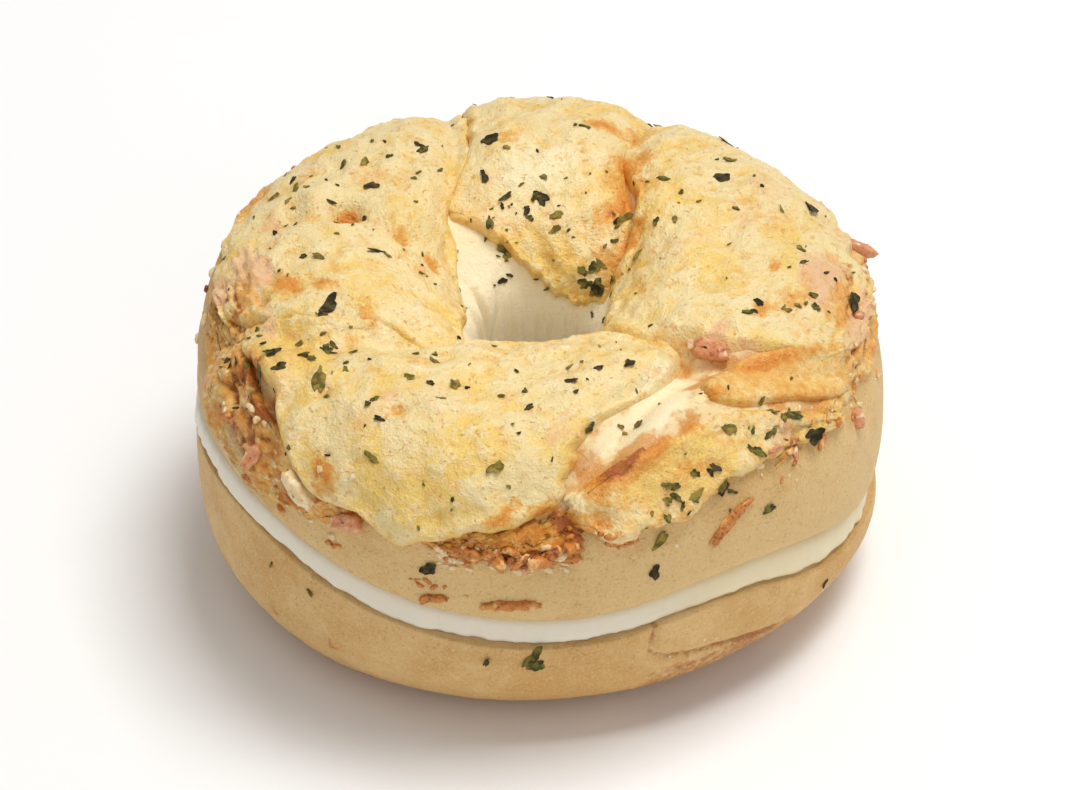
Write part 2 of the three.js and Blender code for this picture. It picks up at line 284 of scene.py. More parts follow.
@dataclass(frozen=True)
class BagelForm:
    """Driving dimensions of the bread in millimetres, and how many metres one of them is."""

    unit: float
    outer_radius: float = 55.0
    rim_radius: float = 54.3
    crest_radius: float = 31.0
    hole_radius: float = 9.8
    crown_back: float = 55.8
    crown_front: float = 52.4
    throat_height: float = 34.0
    heel_radius: float = 54.5
    heel_flat_outer: float = 34.0
    heel_flat_inner: float = 20.0
    heel_hole_height: float = 9.0
    heel_side_height: float = 16.0
    cut_height: float = 22.0
    cut_slope: float = -0.085
    cream: float = 5.5
    rides: tuple[Ride, ...] = (Ride(208, 28, 6.0, 0.0), Ride(305, 22, 6.0, 0.0), Ride(322, 15, 0.0, 1.0))
    drawn_in_at: float = 200.0
    drawn_in_wide: float = 30.0
    drawn_in_rim: float = 0.8
    drawn_in_side: float = 1.8
    side_band: float = 6.0  # height over which the crown's side rises straight from its rim
    round_within: float = 20.0  # the plan is a true circle inside this radius
    fully_lobed_beyond: float = 50.0
    centre: tuple[float, float] = (-0.15, 0.42)

    @staticmethod
    def from_frame() -> "BagelForm":
        """Reads the real size of the design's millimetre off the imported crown."""
        low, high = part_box("top_half")
        return BagelForm(unit=(high[0] - low[0]) / CROWN_WIDTH)

    @property
    def crown_rim_height(self) -> float:
        """Height of the crown's cut edge."""
        return self.cut_height + self.cream / 2

    @property
    def heel_rim_height(self) -> float:
        """Height of the heel's cut edge."""
        return self.cut_height - self.cream / 2

    def out_of_round(self, turn: np.ndarray) -> np.ndarray:
        """How far the plan stands out of a true circle."""
        return 1.0 + 0.008 * np.cos(2 * turn - 0.6) + 0.006 * np.cos(3 * turn + 1.1)

    def ride(self, turn: np.ndarray, radius: np.ndarray, side: float) -> np.ndarray:
        """Finds how far the cut stands above its plane.

        Args:
            turn: in radians.
            radius: in millimetres.
            side: 1 at the crown, -1 at the heel and 0 between them.

        Returns:
            The rise in millimetres, growing from nothing at the hole.
        """
        outward = np.clip((radius - self.hole_radius) / (self.rim_radius - self.hole_radius), 0.0, 1.0)
        rises = ((one.lift + side * one.swell) * bump(turn, one.at, one.wide) for one in self.rides)
        return outward * sum(rises)

    def on_plan(self, turn: np.ndarray, radius: np.ndarray) -> tuple[np.ndarray, np.ndarray]:
        """Finds the plan place of a turn and radius.

        Args:
            turn: in radians.
            radius: in millimetres.

        Returns:
            x and y in millimetres, before centring.
        """
        lobing = self.fully_lobed_beyond - self.round_within
        share = np.clip((radius - self.round_within) / lobing, 0.0, 1.0)
        reach = radius * mix(1.0, self.out_of_round(turn), share)
        return reach * np.cos(turn), reach * np.sin(turn)


class CrownSkin:
    """The crown's outer surface.

    Turn runs round the ring. The share t runs from the outer rim, up the side to side_t, over the crest at
    crest_t and down to throat_t, and then down the wall of the hole.
    """

    side_t = 0.12
    crest_t = 0.55
    throat_t = 0.88
    outer_squareness = 2.7
    inner_squareness = 2.1
    crease_floor = (-0.5, 1.3)  # depth and width of the sharp line down the middle of each crease

    def __init__(self, form: BagelForm, spots: Sequence[Spot]) -> None:
        """Measures the section, so that t can be read from distance along the skin.

        Args:
            form: the bread's driving dimensions.
            spots: what marks the skin.
        """
        self.form = form
        self.spots = spots
        self.lumps = Grain(3)
        self.crumbs = Grain(4)
        self.warp = Grain(5)
        self._t = np.linspace(0.0, 1.0, 4001)
        radius, height = self._section(self._t, np.array(54.0))
        steps = np.hypot(np.diff(radius), np.diff(height))
        self._arc = np.concatenate([[0.0], np.cumsum(steps)])
        self.length = float(self._arc[-1])

    def arc(self, t: np.ndarray) -> np.ndarray:
        """Distance along the section at t, in millimetres."""
        return np.interp(t, self._t, self._arc)

    def at_arc(self, arc: np.ndarray) -> np.ndarray:
        """The t at a distance along the section."""
        return np.interp(arc, self._arc, self._t)

    def _section(self, t: np.ndarray, top: np.ndarray) -> tuple[np.ndarray, np.ndarray]:
        """Reads the section.

        Args:
            t: along the section.
            top: how high the crown is, in millimetres.

        Returns:
            Radius and height in millimetres.
        """
        form = self.form
        side_t, crest_t, throat_t = self.side_t, self.crest_t, self.throat_t
        outer, inner = self.outer_squareness, self.inner_squareness
        rim = form.crown_rim_height
        side = rim + form.side_band
        low = np.clip(t / side_t, 0.0, 1.0)
        out = np.clip((t - side_t) / (crest_t - side_t), 0.0, 1.0) * math.pi / 2
        inn = np.clip((t - crest_t) / (throat_t - crest_t), 0.0, 1.0) * math.pi / 2
        end = (t - throat_t) / (1.0 - throat_t)
        stretches = [t < side_t, t < crest_t, t < throat_t]
        radii = [
            mix(form.rim_radius, form.outer_radius, 1 - (1 - low) ** 2),
            mix(form.crest_radius, form.outer_radius, power(np.cos(out), outer)),
            mix(form.crest_radius, form.hole_radius, power(np.sin(inn), inner)),
        ]
        heights = [
            mix(rim, side, low),
            mix(side, top, power(np.sin(out), outer)),
            mix(form.throat_height, top, power(np.cos(inn), inner)),
        ]
        radius = np.select(stretches, radii, form.hole_radius)
        return radius, np.select(stretches, heights, mix(form.throat_height, rim, end))

    def base(self, turn: np.ndarray, t: np.ndarray) -> np.ndarray:
        """Finds the plain skin, without folds.

        Args:
            turn: in radians.
            t: along the section.

        Returns:
            Places in millimetres, before centring.
        """
        form = self.form
        top = mix(form.crown_front, form.crown_back, (1.0 + np.sin(turn)) / 2)
        wide, height = self._section(t, top)
        rim = form.crown_rim_height
        outer = np.clip((wide - form.crest_radius) / (form.outer_radius - form.crest_radius), 0.0, 1.0)
        up_the_side = np.clip((height - rim) / form.side_band, 0.0, 1.0)
        inward = mix(form.drawn_in_rim, form.drawn_in_side, up_the_side)
        radius = wide - inward * bump(turn, form.drawn_in_at, form.drawn_in_wide) * outer**2
        x, y = form.on_plan(turn, radius)
        low = np.clip((top - height) / (top - rim), 0.0, 1.0)
        height = height + form.cut_slope * x * low + form.ride(turn, wide, 1.0) * low**3
        return np.stack([x, y, height], -1)

    def normal(self, turn: np.ndarray, t: np.ndarray) -> np.ndarray:
        """Outward direction of the plain skin."""
        return facing(self.base, turn, t)

    def axes(self, turn: float, t: float) -> tuple[np.ndarray, np.ndarray, np.ndarray, np.ndarray]:
        """Finds the directions at one place.

        Args:
            turn: in radians.
            t: along the section.

        Returns:
            The place, then the directions of rising turn and rising t, and the outward direction.
        """
        here = np.array(turn), np.array(t)
        out = self.normal(*here)
        across = np.array([-math.sin(turn), math.cos(turn), 0.0])
        up = np.cross(out, across)
        return self.base(*here), across, up / np.linalg.norm(up), out

    def marks(self, base: np.ndarray, mark: Mark) -> np.ndarray:
        """How strongly one kind of mark shows.

        Args:
            base: places on the plain skin.
            mark: the kind.

        Returns:
            The strongest spot at each place, edges broken up by noise.
        """
        total = np.zeros(base.shape[:-1])
        ragged = 0.30 * self.warp(base, 3.0, 2) + 0.12 * self.warp(base, 0.9)
        smooth = mark in (Mark.SWELL, Mark.HEAP)
        for spot in self.spots:
            if spot.mark is not mark:
                continue
            place, across, up, _ = self.axes(math.radians(spot.turn), spot.t)
            way = math.radians(spot.heading)
            near = np.linalg.norm(base - place, axis=-1) < spot.length + spot.width + 2.0
            apart = base[near] - place
            along = apart @ (math.cos(way) * across + math.sin(way) * up)
            aside = apart @ (math.cos(way) * up - math.sin(way) * across)
            off = np.hypot(along * 2 / spot.length, aside * 2 / spot.width)
            if smooth:
                total[near] += spot.strength * np.exp(-(off**2))
            else:
                shown = spot.strength * (1.0 - ease(off + ragged[near], 0.15, 1.35))
                total[near] = np.maximum(total[near], shown)
        return total

    def grit(self, base: np.ndarray, t: np.ndarray) -> np.ndarray:
        """Finds the height of wrinkles and grains of crumbly ground, drawn out along the rim.

        Args:
            base: places on the plain skin.
            t: along the section.

        Returns:
            The height in millimetres, below zero in the hollows.
        """
        ring = base / np.maximum(np.hypot(base[..., 0], base[..., 1]), 1.0)[..., None] * 17.0
        drawn = np.stack([ring[..., 0], ring[..., 1], self.arc(t)], -1)
        wrinkles = 2.3 * (0.28 - np.abs(self.crumbs(drawn, 3.0, 2))) + 0.7 * self.crumbs(base, 1.9, 2)
        return self.marks(base, Mark.CRUMBLY) * wrinkles

    def relief(self, base: np.ndarray, t: np.ndarray) -> np.ndarray:
        """Finds the height of folds, swellings and crumbly ground over the plain skin.

        Args:
            base: places on the plain skin.
            t: along the section.

        Returns:
            The height in millimetres.
        """
        x, y = base[..., 0], base[..., 1]
        fade = ease(t, 0.1, 0.25) * (1.0 - ease(t, 0.76, 0.86))
        folds = np.zeros(x.shape)
        for fold in CREASES:
            folds += fold.relief(x, y)
            if fold.depth < 0:
                folds += Fold(*self.crease_floor, fold.line).relief(x, y)
        upper = ease(t, 0.16, 0.3) * (1.0 - ease(t, 0.66, 0.76))
        lumps = 0.55 * self.lumps(base, 13.0) + 0.22 * self.lumps(base + 40.0, 5.5)
        dough = 0.25 * self.lumps(base, 24.0) + 0.03 * self.crumbs(base, 1.6, 2)
        return folds * fade + lumps * upper + self.grit(base, t) + dough + self.marks(base, Mark.SWELL)


# ---- meshes ---------------------------------------------------------------------------
class Shell:
    """A mesh put together from grids of points, with its masks and its flat map."""

    def __init__(self) -> None:
        """Starts empty."""
        self.points: list[np.ndarray] = []
        self.quads: list[np.ndarray] = []
        self.corners: list[np.ndarray] = []
        self.masks: dict[str, list[np.ndarray]] = {}
        self.count = 0

    def grid(
        self,
        points: np.ndarray,
        masks: dict[str, np.ndarray],
        wrap: tuple[bool, bool],
        chart: tuple[float, float, float, float] = (0.0, 0.0, 1.0, 1.0),
        flip: bool = False,
    ) -> np.ndarray:
        """Adds a grid of quads.

        Args:
            points: places, shape (rows, columns, 3), in millimetres.
            masks: values by name, shape (rows, columns).
            wrap: whether rows and columns close on themselves.
            chart: the part of the flat map it takes, as left, bottom, right, top.
            flip: whether to turn the faces over.

        Returns:
            The point numbers, shape (rows, columns).
        """
        rows, columns = points.shape[:2]
        numbers = self.count + np.arange(rows * columns).reshape(rows, columns)
        across, along = rows - (not wrap[0]), columns - (not wrap[1])
        i, j = np.meshgrid(np.arange(across), np.arange(along), indexing="ij")
        i2, j2 = (i + 1) % rows, (j + 1) % columns
        quads = np.stack([numbers[i, j], numbers[i2, j], numbers[i2, j2], numbers[i, j2]], -1)
        left, bottom, right, top = chart
        u = left + (right - left) * np.stack([i, i + 1, i + 1, i], -1) / across
        v = bottom + (top - bottom) * np.stack([j, j, j + 1, j + 1], -1) / along
        corners = np.stack([u, v], -1)
        if flip:
            quads, corners = quads[..., ::-1], corners[..., ::-1, :]
        self._take(points.reshape(-1, 3), quads.reshape(-1, 4), corners.reshape(-1, 4, 2))
        self._mask({name: np.asarray(mask).reshape(-1) for name, mask in masks.items()}, rows * columns)
        return numbers

    def join(self, one: np.ndarray, other: np.ndarray, band: tuple[float, float]) -> None:
        """Closes the gap between two rows of points with quads.

        Args:
            one: point numbers of a row.
            other: point numbers of the row across from it.
            band: bottom and top of the thin band that the quads take on the flat map.
        """
        quads = np.stack([one[:-1], one[1:], other[1:], other[:-1]], -1)
        u = np.linspace(0.0, 1.0, len(one))
        low, high = np.full(len(one) - 1, band[0]), np.full(len(one) - 1, band[1])
        across = np.stack([u[:-1], u[1:], u[1:], u[:-1]], 1)
        self.quads.append(quads)
        self.corners.append(np.stack([across, np.stack([low, low, high, high], 1)], -1))

    def _take(self, points: np.ndarray, quads: np.ndarray, corners: np.ndarray) -> None:
        """Stores a batch of points and faces.

        Args:
            points: places in millimetres.
            quads: four point numbers a face.
            corners: four places a face on the flat map.
        """
        self.points.append(points)
        self.quads.append(quads)
        self.corners.append(corners)
        self.count += len(points)

    def _mask(self, masks: dict[str, np.ndarray], amount: int) -> None:
        """Stores a batch of mask values, zeros where a name is new or missing.

        Args:
            masks: values by name.
            amount: how many points the batch has.
        """
        before = self.count - amount
        for name in set(self.masks) | set(masks):
            kept = self.masks.setdefault(name, [np.zeros(before)] if before else [])
            kept.append(masks.get(name, np.zeros(amount)))

    def piece(
        self, name: str, unit: float, centre: tuple[float, float], finish: bpy.types.Material
    ) -> bpy.types.Object:
        """Makes the mesh object.

        Args:
            name: the piece's name.
            unit: metres for each millimetre.
            centre: where the ring's axis stands, in millimetres.
            finish: its material.

        Returns:
            The object, linked to the scene.
        """
        points = (np.concatenate(self.points) + np.array([*centre, 0.0])) * unit
        quads = np.concatenate(self.quads).astype(np.int32)
        mesh = bpy.data.meshes.new(name)
        mesh.vertices.add(len(points))
        mesh.vertices.foreach_set("co", points.astype(np.float32).ravel())
        mesh.loops.add(quads.size)
        mesh.loops.foreach_set("vertex_index", quads.ravel())
        mesh.polygons.add(len(quads))
        mesh.polygons.foreach_set("loop_start", np.arange(0, quads.size, 4, dtype=np.int32))
        mesh.update(calc_edges=True)
        mesh.validate()
        layer = mesh.uv_layers.new(name="OFBake")
        layer.data.foreach_set("uv", np.concatenate(self.corners).astype(np.float32).ravel())
        for title, values in self.masks.items():
            kept = mesh.attributes.new(title, "FLOAT", "POINT")
            kept.data.foreach_set("value", np.concatenate(values).astype(np.float32))
        mesh.shade_smooth()
        mesh.materials.append(finish)
        made = bpy.data.objects.new(name, mesh)
        bpy.context.scene.collection.objects.link(made)
        return made


# ---- finishes -------------------------------------------------------------------------
def tone(red: int, green: int, blue: int) -> Colour:
    """Makes a colour out of display values.

    Args:
        red: 0 to 255.
        green: 0 to 255.
        blue: 0 to 255.

    Returns:
        The colour in linear light, with nothing showing through.
    """
    parts = [part / 255 for part in (red, green, blue)]
    linear = [part / 12.92 if part <= 0.04045 else ((part + 0.055) / 1.055) ** 2.4 for part in parts]
    return (*linear, 1.0)


class Wire:
    """A node's output that takes part in sums."""

    def __init__(self, graph: "Graph", socket: bpy.types.NodeSocket) -> None:
        """Keeps the socket and the graph it belongs to."""
        self.graph = graph
        self.socket = socket

    def _sum(self, operation: str, one: Any, other: Any) -> "Wire":
        """Adds one Math node."""
        return self.graph.node("ShaderNodeMath", {"operation": operation}, {0: one, 1: other})

    def __add__(self, other: Any) -> "Wire":
        """Sum."""
        return self._sum("ADD", self, other)

    def __radd__(self, other: Any) -> "Wire":
        """Sum, other way about."""
        return self._sum("ADD", other, self)

    def __sub__(self, other: Any) -> "Wire":
        """Difference."""
        return self._sum("SUBTRACT", self, other)

    def __rsub__(self, other: Any) -> "Wire":
        """Difference, other way about."""
        return self._sum("SUBTRACT", other, self)

    def __mul__(self, other: Any) -> "Wire":
        """Product."""
        return self._sum("MULTIPLY", self, other)

    def __rmul__(self, other: Any) -> "Wire":
        """Product, other way about."""
        return self._sum("MULTIPLY", other, self)


class Graph:
    """A material's nodes."""

    def __init__(self, name: str) -> None:
        """Starts a material with no nodes but the one that gives places on the object.

        Args:
            name: the material's name.
        """
        self.material = bpy.data.materials.new(name)
        self.material.use_nodes = True
        self.tree = self.material.node_tree
        self.tree.nodes.clear()
        self.place = self.node("ShaderNodeTexCoord", output="Object")

    def node(
        self,
        kind: str,
        settings: dict[str, Any] | None = None,
        sockets: dict[Any, Any] | None = None,
        output: Any = 0,
    ) -> Wire:
        """Adds any node.

        Args:
            kind: the node's type.
            settings: its own settings, set first.
            sockets: values or wires for its inputs.
            output: which output to hand back.

        Returns:
            That output.
        """
        made = self.tree.nodes.new(kind)
        for name, value in (settings or {}).items():
            setattr(made, name, value)
        for key, value in (sockets or {}).items():
            if isinstance(value, Wire):
                self.tree.links.new(value.socket, made.inputs[key])
            else:
                made.inputs[key].default_value = value
        return Wire(self, made.outputs[output])

    def clouds(self, size: float, detail: float = 2.0, rough: float = 0.5, warp: float = 0.0) -> Wire:
        """Makes noise of about 0 to 1.

        Args:
            size: how large its lumps are, in millimetres.
            detail: how many finer layers it has.
            rough: how strong they are.
            warp: how far it is stirred.

        Returns:
            The noise.
        """
        sockets = {"Vector": self.place, "Scale": PER_METRE / size, "Detail": detail}
        sockets.update({"Roughness": rough, "Distortion": warp})
        return self.node("ShaderNodeTexNoise", None, sockets, "Fac")

    def streaks(self, size: float) -> Wire:
        """Makes noise drawn out upright.

        Args:
            size: how far apart its lines are, in millimetres.

        Returns:
            The noise.
        """
        stretch = {0: self.place, 1: (1.0, 1.0, 0.1)}
        drawn = self.node("ShaderNodeVectorMath", {"operation": "MULTIPLY"}, stretch)
        sockets = {"Vector": drawn, "Scale": PER_METRE / size, "Detail": 2.0}
        return self.node("ShaderNodeTexNoise", None, sockets, "Fac")

    def cells(self, size: float) -> Wire:
        """Distance to the middles of cells of size millimetres, 0 to about 1."""
        sockets = {"Vector": self.place, "Scale": PER_METRE / size}
        return self.node("ShaderNodeTexVoronoi", {"feature": "F1"}, sockets, "Distance")

    def mask(self, name: str) -> Wire:
        """A mask kept on the mesh."""
        return self.node("ShaderNodeAttribute", {"attribute_name": name}, None, "Fac")

    def step(self, value: Wire, start: float, end: float) -> Wire:
        """Makes a smooth step.

        Args:
            value: what it follows.
            start: where it leaves 0.
            end: where it reaches 1.

        Returns:
            The step, 0 to 1.
        """
        settings = {"interpolation_type": "SMOOTHSTEP"}
        sockets = {"Value": value, "From Min": start, "From Max": end}
        return self.node("ShaderNodeMapRange", settings, sockets)

    def blend(self, share: Any, under: Any, over: Any) -> Wire:
        """Lays one colour over another."""
        settings = {"data_type": "RGBA", "blend_type": "MIX"}
        return self.node("ShaderNodeMix", settings, {0: share, 6: under, 7: over}, 2)

    def finish(
        self, colour: Any, rough: Any, height: Wire, rise: float, **constants: Any
    ) -> bpy.types.Material:
        """Closes the graph with its shader.

        Args:
            colour: base colour.
            rough: roughness.
            height: bump height of 0 to 1.
            rise: how far a height of 1 stands up, in millimetres.
            constants: further values set on the shader's own sockets, spaces written as underscores.

        Returns:
            The finished material.
        """
        relief = {"Strength": 1.0, "Distance": rise / PER_METRE, "Height": height}
        sockets = {name.replace("_", " "): value for name, value in constants.items()}
        sockets.update({"Base Color": colour, "Roughness": rough})
        sockets["Normal"] = self.node("ShaderNodeBump", None, relief, "Normal")
        shader = self.node("ShaderNodeBsdfPrincipled", None, sockets, "BSDF")
        end = self.tree.nodes.new("ShaderNodeOutputMaterial")
        self.tree.links.new(shader.socket, end.inputs["Surface"])
        return self.material


@dataclass(frozen=True)
class CheeseFinish:
    """Melted cheese: pale to yellow, mottled, toasted orange and brown where its masks say, and more amber and
    brown in its hollows as painted shade.
    """

    name: str = "melted_cheese_finish"
    pale: Colour = tone(243, 218, 156)
    yellow: Colour = tone(243, 204, 104)
    amber: Colour = tone(232, 176, 80)
    curd: Colour = tone(250, 234, 188)
    toast: Colour = tone(228, 142, 44)
    brown: Colour = tone(172, 90, 34)
    pink: Colour = tone(236, 188, 146)
    peach: Colour = tone(243, 188, 124)
    glint: Colour = tone(255, 244, 214)
    gloss: float = 0.36

    def make(self) -> bpy.types.Material:
        """Builds the material.

        Returns:
            The material, ready to put on a piece.
        """
        g = Graph(self.name)
        broad, curds = g.clouds(9.0, 3.0, 0.55, 0.6), g.clouds(3.2, 4.0, 0.62, 0.8)
        fine, grain = g.clouds(1.0, 4.0, 0.65), g.clouds(0.38, 2.0, 0.6)
        # painted shade: the deep mask is high in the cheese's hollows, which turn more amber and brown there
        # and show fewer pale curds
        deep = g.mask("deep")
        ripe = broad + g.mask("yellow") * 0.3 + (curds - 0.5) * 0.5 + (deep - 0.5) * 0.12
        colour = g.blend(g.step(ripe, 0.42, 0.68), self.pale, self.yellow)
        colour = g.blend(g.step(deep + (fine - 0.5) * 0.9, 0.5, 1.0) * 0.7, colour, self.amber)
        curdy = g.step(curds + (fine - 0.5) * 0.7 + g.mask("pale") * 0.5 - deep * 0.22, 0.42, 0.6)
        colour = g.blend(curdy * 0.75, colour, self.curd)
        colour = g.blend(g.step(grain, 0.4, 0.72) * 0.22, colour, self.glint)
        blush = g.step(g.clouds(6.0, 4.0, 0.6, 1.0), 0.57, 0.72)
        colour = g.blend(blush * g.step(fine, 0.35, 0.6) * 0.7, colour, self.amber)
        peach = g.step(g.clouds(11.0, 4.0, 0.62, 1.2) + (curds - 0.5) * 0.5, 0.5, 0.72)
        colour = g.blend(peach * g.step(fine, 0.3, 0.65) * 0.6, colour, self.peach)
        pink = g.step(g.mask("pink") + (curds - 0.5) * 1.1 + (fine - 0.5) * 0.7, 0.35, 0.95)
        colour = g.blend(pink * 0.85, colour, self.pink)
        heat = g.mask("toast") + (curds - 0.5) * 1.6 + (fine - 0.5) * 1.5
        colour = g.blend(g.step(heat, 0.1, 0.6) * 0.8, colour, self.amber)
        colour = g.blend(g.step(heat, 0.4, 1.05) * 0.9, colour, self.toast)
        burnt = g.mask("toast") * 0.55 + g.mask("brown")
        browned = g.step(burnt + (deep - 0.5) * 0.7 + (curds - 0.5) * 1.2 + (fine - 0.5) * 1.4, 0.55, 1.05)
        colour = g.blend(browned * 0.9, colour, self.brown)
        pinholes = g.step(g.clouds(0.8, 1.0), 0.66, 0.74)
        colour = g.blend(pinholes * 0.4, colour, self.toast)
        height = curds * 0.4 + fine * 0.38 + grain * 0.22 - pinholes * 0.12
        rough = self.gloss + (fine - 0.5) * 0.3
        return g.finish(
            colour, rough, height, 1.0, Specular_IOR_Level=0.45,
            Subsurface_Weight=0.18, Subsurface_Scale=0.0011, Subsurface_Radius=(1.0, 0.6, 0.3),
        )


@dataclass(frozen=True)
class CrustFinish:
    """Baked bread skin: tan, finely speckled, pale where the dough is bare, browned where its masks say, with
    painted highlights on its raised grain, painted shade in the hollows of crumbly ground and painted light
    down the hole's wall.
    """

    name: str
    light: Colour
    tan: Colour
    brown: Colour = tone(170, 104, 50)
    toast: Colour = tone(216, 152, 76)
    dough: Colour = tone(246, 229, 188)
    pink: Colour = tone(224, 182, 134)
    cheesy: Colour = tone(243, 220, 166)
    # painted light: the lighter colour given to the hole's wall, standing in for light inside the hole
    throat: Colour = tone(255, 249, 228)
    streak: Colour = tone(232, 205, 150)
    pore: Colour = tone(190, 142, 86)
    # painted highlight colour for the raised grain
    painted_grain_highlight: Colour = tone(242, 217, 170)
    flour: Colour = tone(253, 246, 230)

    def make(self) -> bpy.types.Material:
        """Builds the material.

        Returns:
            The material, ready to put on a piece.
        """
        g = Graph(self.name)
        broad, patch = g.clouds(16.0, 3.0), g.clouds(4.0, 3.0)
        fine, grain = g.clouds(1.1, 3.0), g.clouds(0.35, 2.0)
        bake = broad + (patch - 0.5) * 0.35 + (fine - 0.5) * 0.3 + g.mask("bake")
        colour = g.blend(g.step(bake, 0.35, 0.85), self.light, self.tan)
        cheesy = g.step(g.mask("cheesy") + (patch - 0.5) * 0.5 + (fine - 0.5) * 0.4, 0.3, 0.8)
        topping = g.blend(g.step(patch, 0.42, 0.6), self.cheesy, self.toast)
        colour = g.blend(cheesy * 0.9, colour, topping)
        colour = g.blend(g.step(g.mask("pale") + (fine - 0.5) * 0.3, 0.3, 0.9), colour, self.dough)
        # painted light: lighter down the hole's wall, standing in for light that the hole's own shade keeps out
        colour = g.blend(g.mask("throat"), colour, self.throat)
        streaks = g.streaks(1.3)
        wall = g.mask("wall")
        colour = g.blend(g.step(streaks, 0.5, 0.75) * wall * 0.35, colour, self.streak)
        pink = g.step(g.mask("pink") + (patch - 0.5) * 0.9 + (fine - 0.5) * 0.6, 0.35, 0.95)
        colour = g.blend(pink * 0.85, colour, self.pink)
        toasted = g.step(g.mask("toast") + (patch - 0.5) * 1.4 + (fine - 0.5) * 1.2, 0.3, 1.0)
        colour = g.blend(toasted * 0.9, colour, self.toast)
        browned = g.step(g.mask("brown") + (patch - 0.5) * 0.7 + (fine - 0.5) * 0.9, 0.4, 1.0)
        colour = g.blend(browned * 0.9, colour, self.brown)
        # painted shade: brown laid into the hollows of crumbly ground, where the deep mask is high
        painted_hollow_shade = g.step(g.mask("deep") + (fine - 0.5) * 0.8, 0.1, 0.7)
        colour = g.blend(painted_hollow_shade * 0.8, colour, self.brown)
        pores = g.step(g.clouds(0.5, 3.0, 0.6), 0.58, 0.72) * (1.0 - 0.95 * g.mask("pale"))
        colour = g.blend(pores * 0.35, colour, self.pore)
        # painted highlight: lighter where the fine grain stands up in the bump
        colour = g.blend(g.step(grain, 0.45, 0.7) * 0.28, colour, self.painted_grain_highlight)
        flour = 1.0 - g.step(g.cells(3.2), 0.05, 0.1)
        colour = g.blend(flour * g.step(patch, 0.5, 0.62) * 0.7, colour, self.flour)
        height = patch * 0.15 + fine * 0.25 + grain * 0.45 + streaks * wall * 1.2 - pores * 0.25
        rough = 0.56 + (fine - 0.5) * 0.2
        return g.finish(
            colour, rough, height, 0.3, Specular_IOR_Level=0.3,
            Subsurface_Weight=0.12, Subsurface_Scale=0.001, Subsurface_Radius=(1.0, 0.55, 0.3),
        )


@dataclass(frozen=True)
class CreamFinish:
    """Smooth white cream with faint drag lines."""

    name: str = "cream_finish"
    white: Colour = tone(238, 229, 208)
    # painted light: the warmer tint given to the cream's right side
    warm: Colour = tone(238, 222, 180)
    bright: Colour = tone(250, 246, 238)

    def make(self) -> bpy.types.Material:
        """Builds the material.

        Returns:
            The material, ready to put on a piece.
        """
        g = Graph(self.name)
        broad, fine = g.clouds(14.0, 2.0), g.clouds(1.6, 3.0)
        # painted light and shade: the cream turns warmer towards the right and greyer white towards the left
        warm = g.step(g.mask("warm") + (broad - 0.5) * 0.4, 0.2, 0.9)
        colour = g.blend(warm, self.white, self.warm)
        colour = g.blend(g.step(fine, 0.4, 0.8) * 0.15, colour, self.bright)
        height = broad * 0.6 + fine * 0.4
        rough = 0.42 + (fine - 0.5) * 0.1
        return g.finish(
            colour, rough, height, 0.2, Specular_IOR_Level=0.4,
            Subsurface_Weight=0.3, Subsurface_Scale=0.0015, Subsurface_Radius=(1.0, 0.8, 0.6),
        )


@dataclass(frozen=True)
class LumpFinish:
    """Ham or toasted shreds: one main tone broken by lighter fat or darker toast."""

    name: str
    main: Colour
    light: Colour
    dark: Colour
    gloss: float

    def make(self) -> bpy.types.Material:
        """Builds the material.

        Returns:
            The material, ready to put on a piece.
        """
        g = Graph(self.name)
        broad, fine = g.clouds(2.4, 3.0, 0.6, 0.6), g.clouds(0.7, 3.0)
        colour = g.blend(g.step(broad, 0.5, 0.68), self.main, self.light)
        colour = g.blend(g.step(fine + (0.5 - broad) * 0.8, 0.55, 0.8), colour, self.dark)
        rough = self.gloss + (fine - 0.5) * 0.2
        return g.finish(
            colour, rough, broad * 0.5 + fine * 0.5, 0.4,
            Subsurface_Weight=0.1, Subsurface_Scale=0.001, Subsurface_Radius=(1.0, 0.5, 0.35),
        )


@dataclass(frozen=True)
class HerbFinish:
    """Dried leaf: olive to nearly black, veined, dusty."""

    name: str
    leaf: Colour
    dark: Colour
    vein: Colour

    def make(self) -> bpy.types.Material:
        """Builds the material.

        Returns:
            The material, ready to put on a piece.
        """
        g = Graph(self.name)
        broad, fine = g.clouds(1.1, 3.0), g.clouds(0.35, 3.0)
        colour = g.blend(g.step(broad, 0.4, 0.65), self.dark, self.leaf)
        veins = 1.0 - g.step(g.cells(0.6), 0.04, 0.16)
        colour = g.blend(veins * 0.5, colour, self.vein)
        colour = g.blend(g.step(fine, 0.55, 0.8) * 0.35, colour, self.vein)
        rough = 0.75 + (fine - 0.5) * 0.2
        return g.finish(colour, rough, broad * 0.6 + fine * 0.4, 0.12, Specular_IOR_Level=0.12)


@dataclass(frozen=True)
class FloorFinish:
    """Plain white sheet with the faintest unevenness."""

    name: str = "pale_floor_finish"
    white: Colour = tone(250, 250, 249)
    brighter: Colour = tone(251, 251, 251)

    def make(self) -> bpy.types.Material:
        """Builds the material.

        Returns:
            The material, ready to put on a piece.
        """
        g = Graph(self.name)
        broad = g.clouds(60.0, 2.0)
        colour = g.blend(g.step(broad, 0.3, 0.7), self.white, self.brighter)
        return g.finish(colour, 0.9 + (broad - 0.5) * 0.05, broad, 0.02)


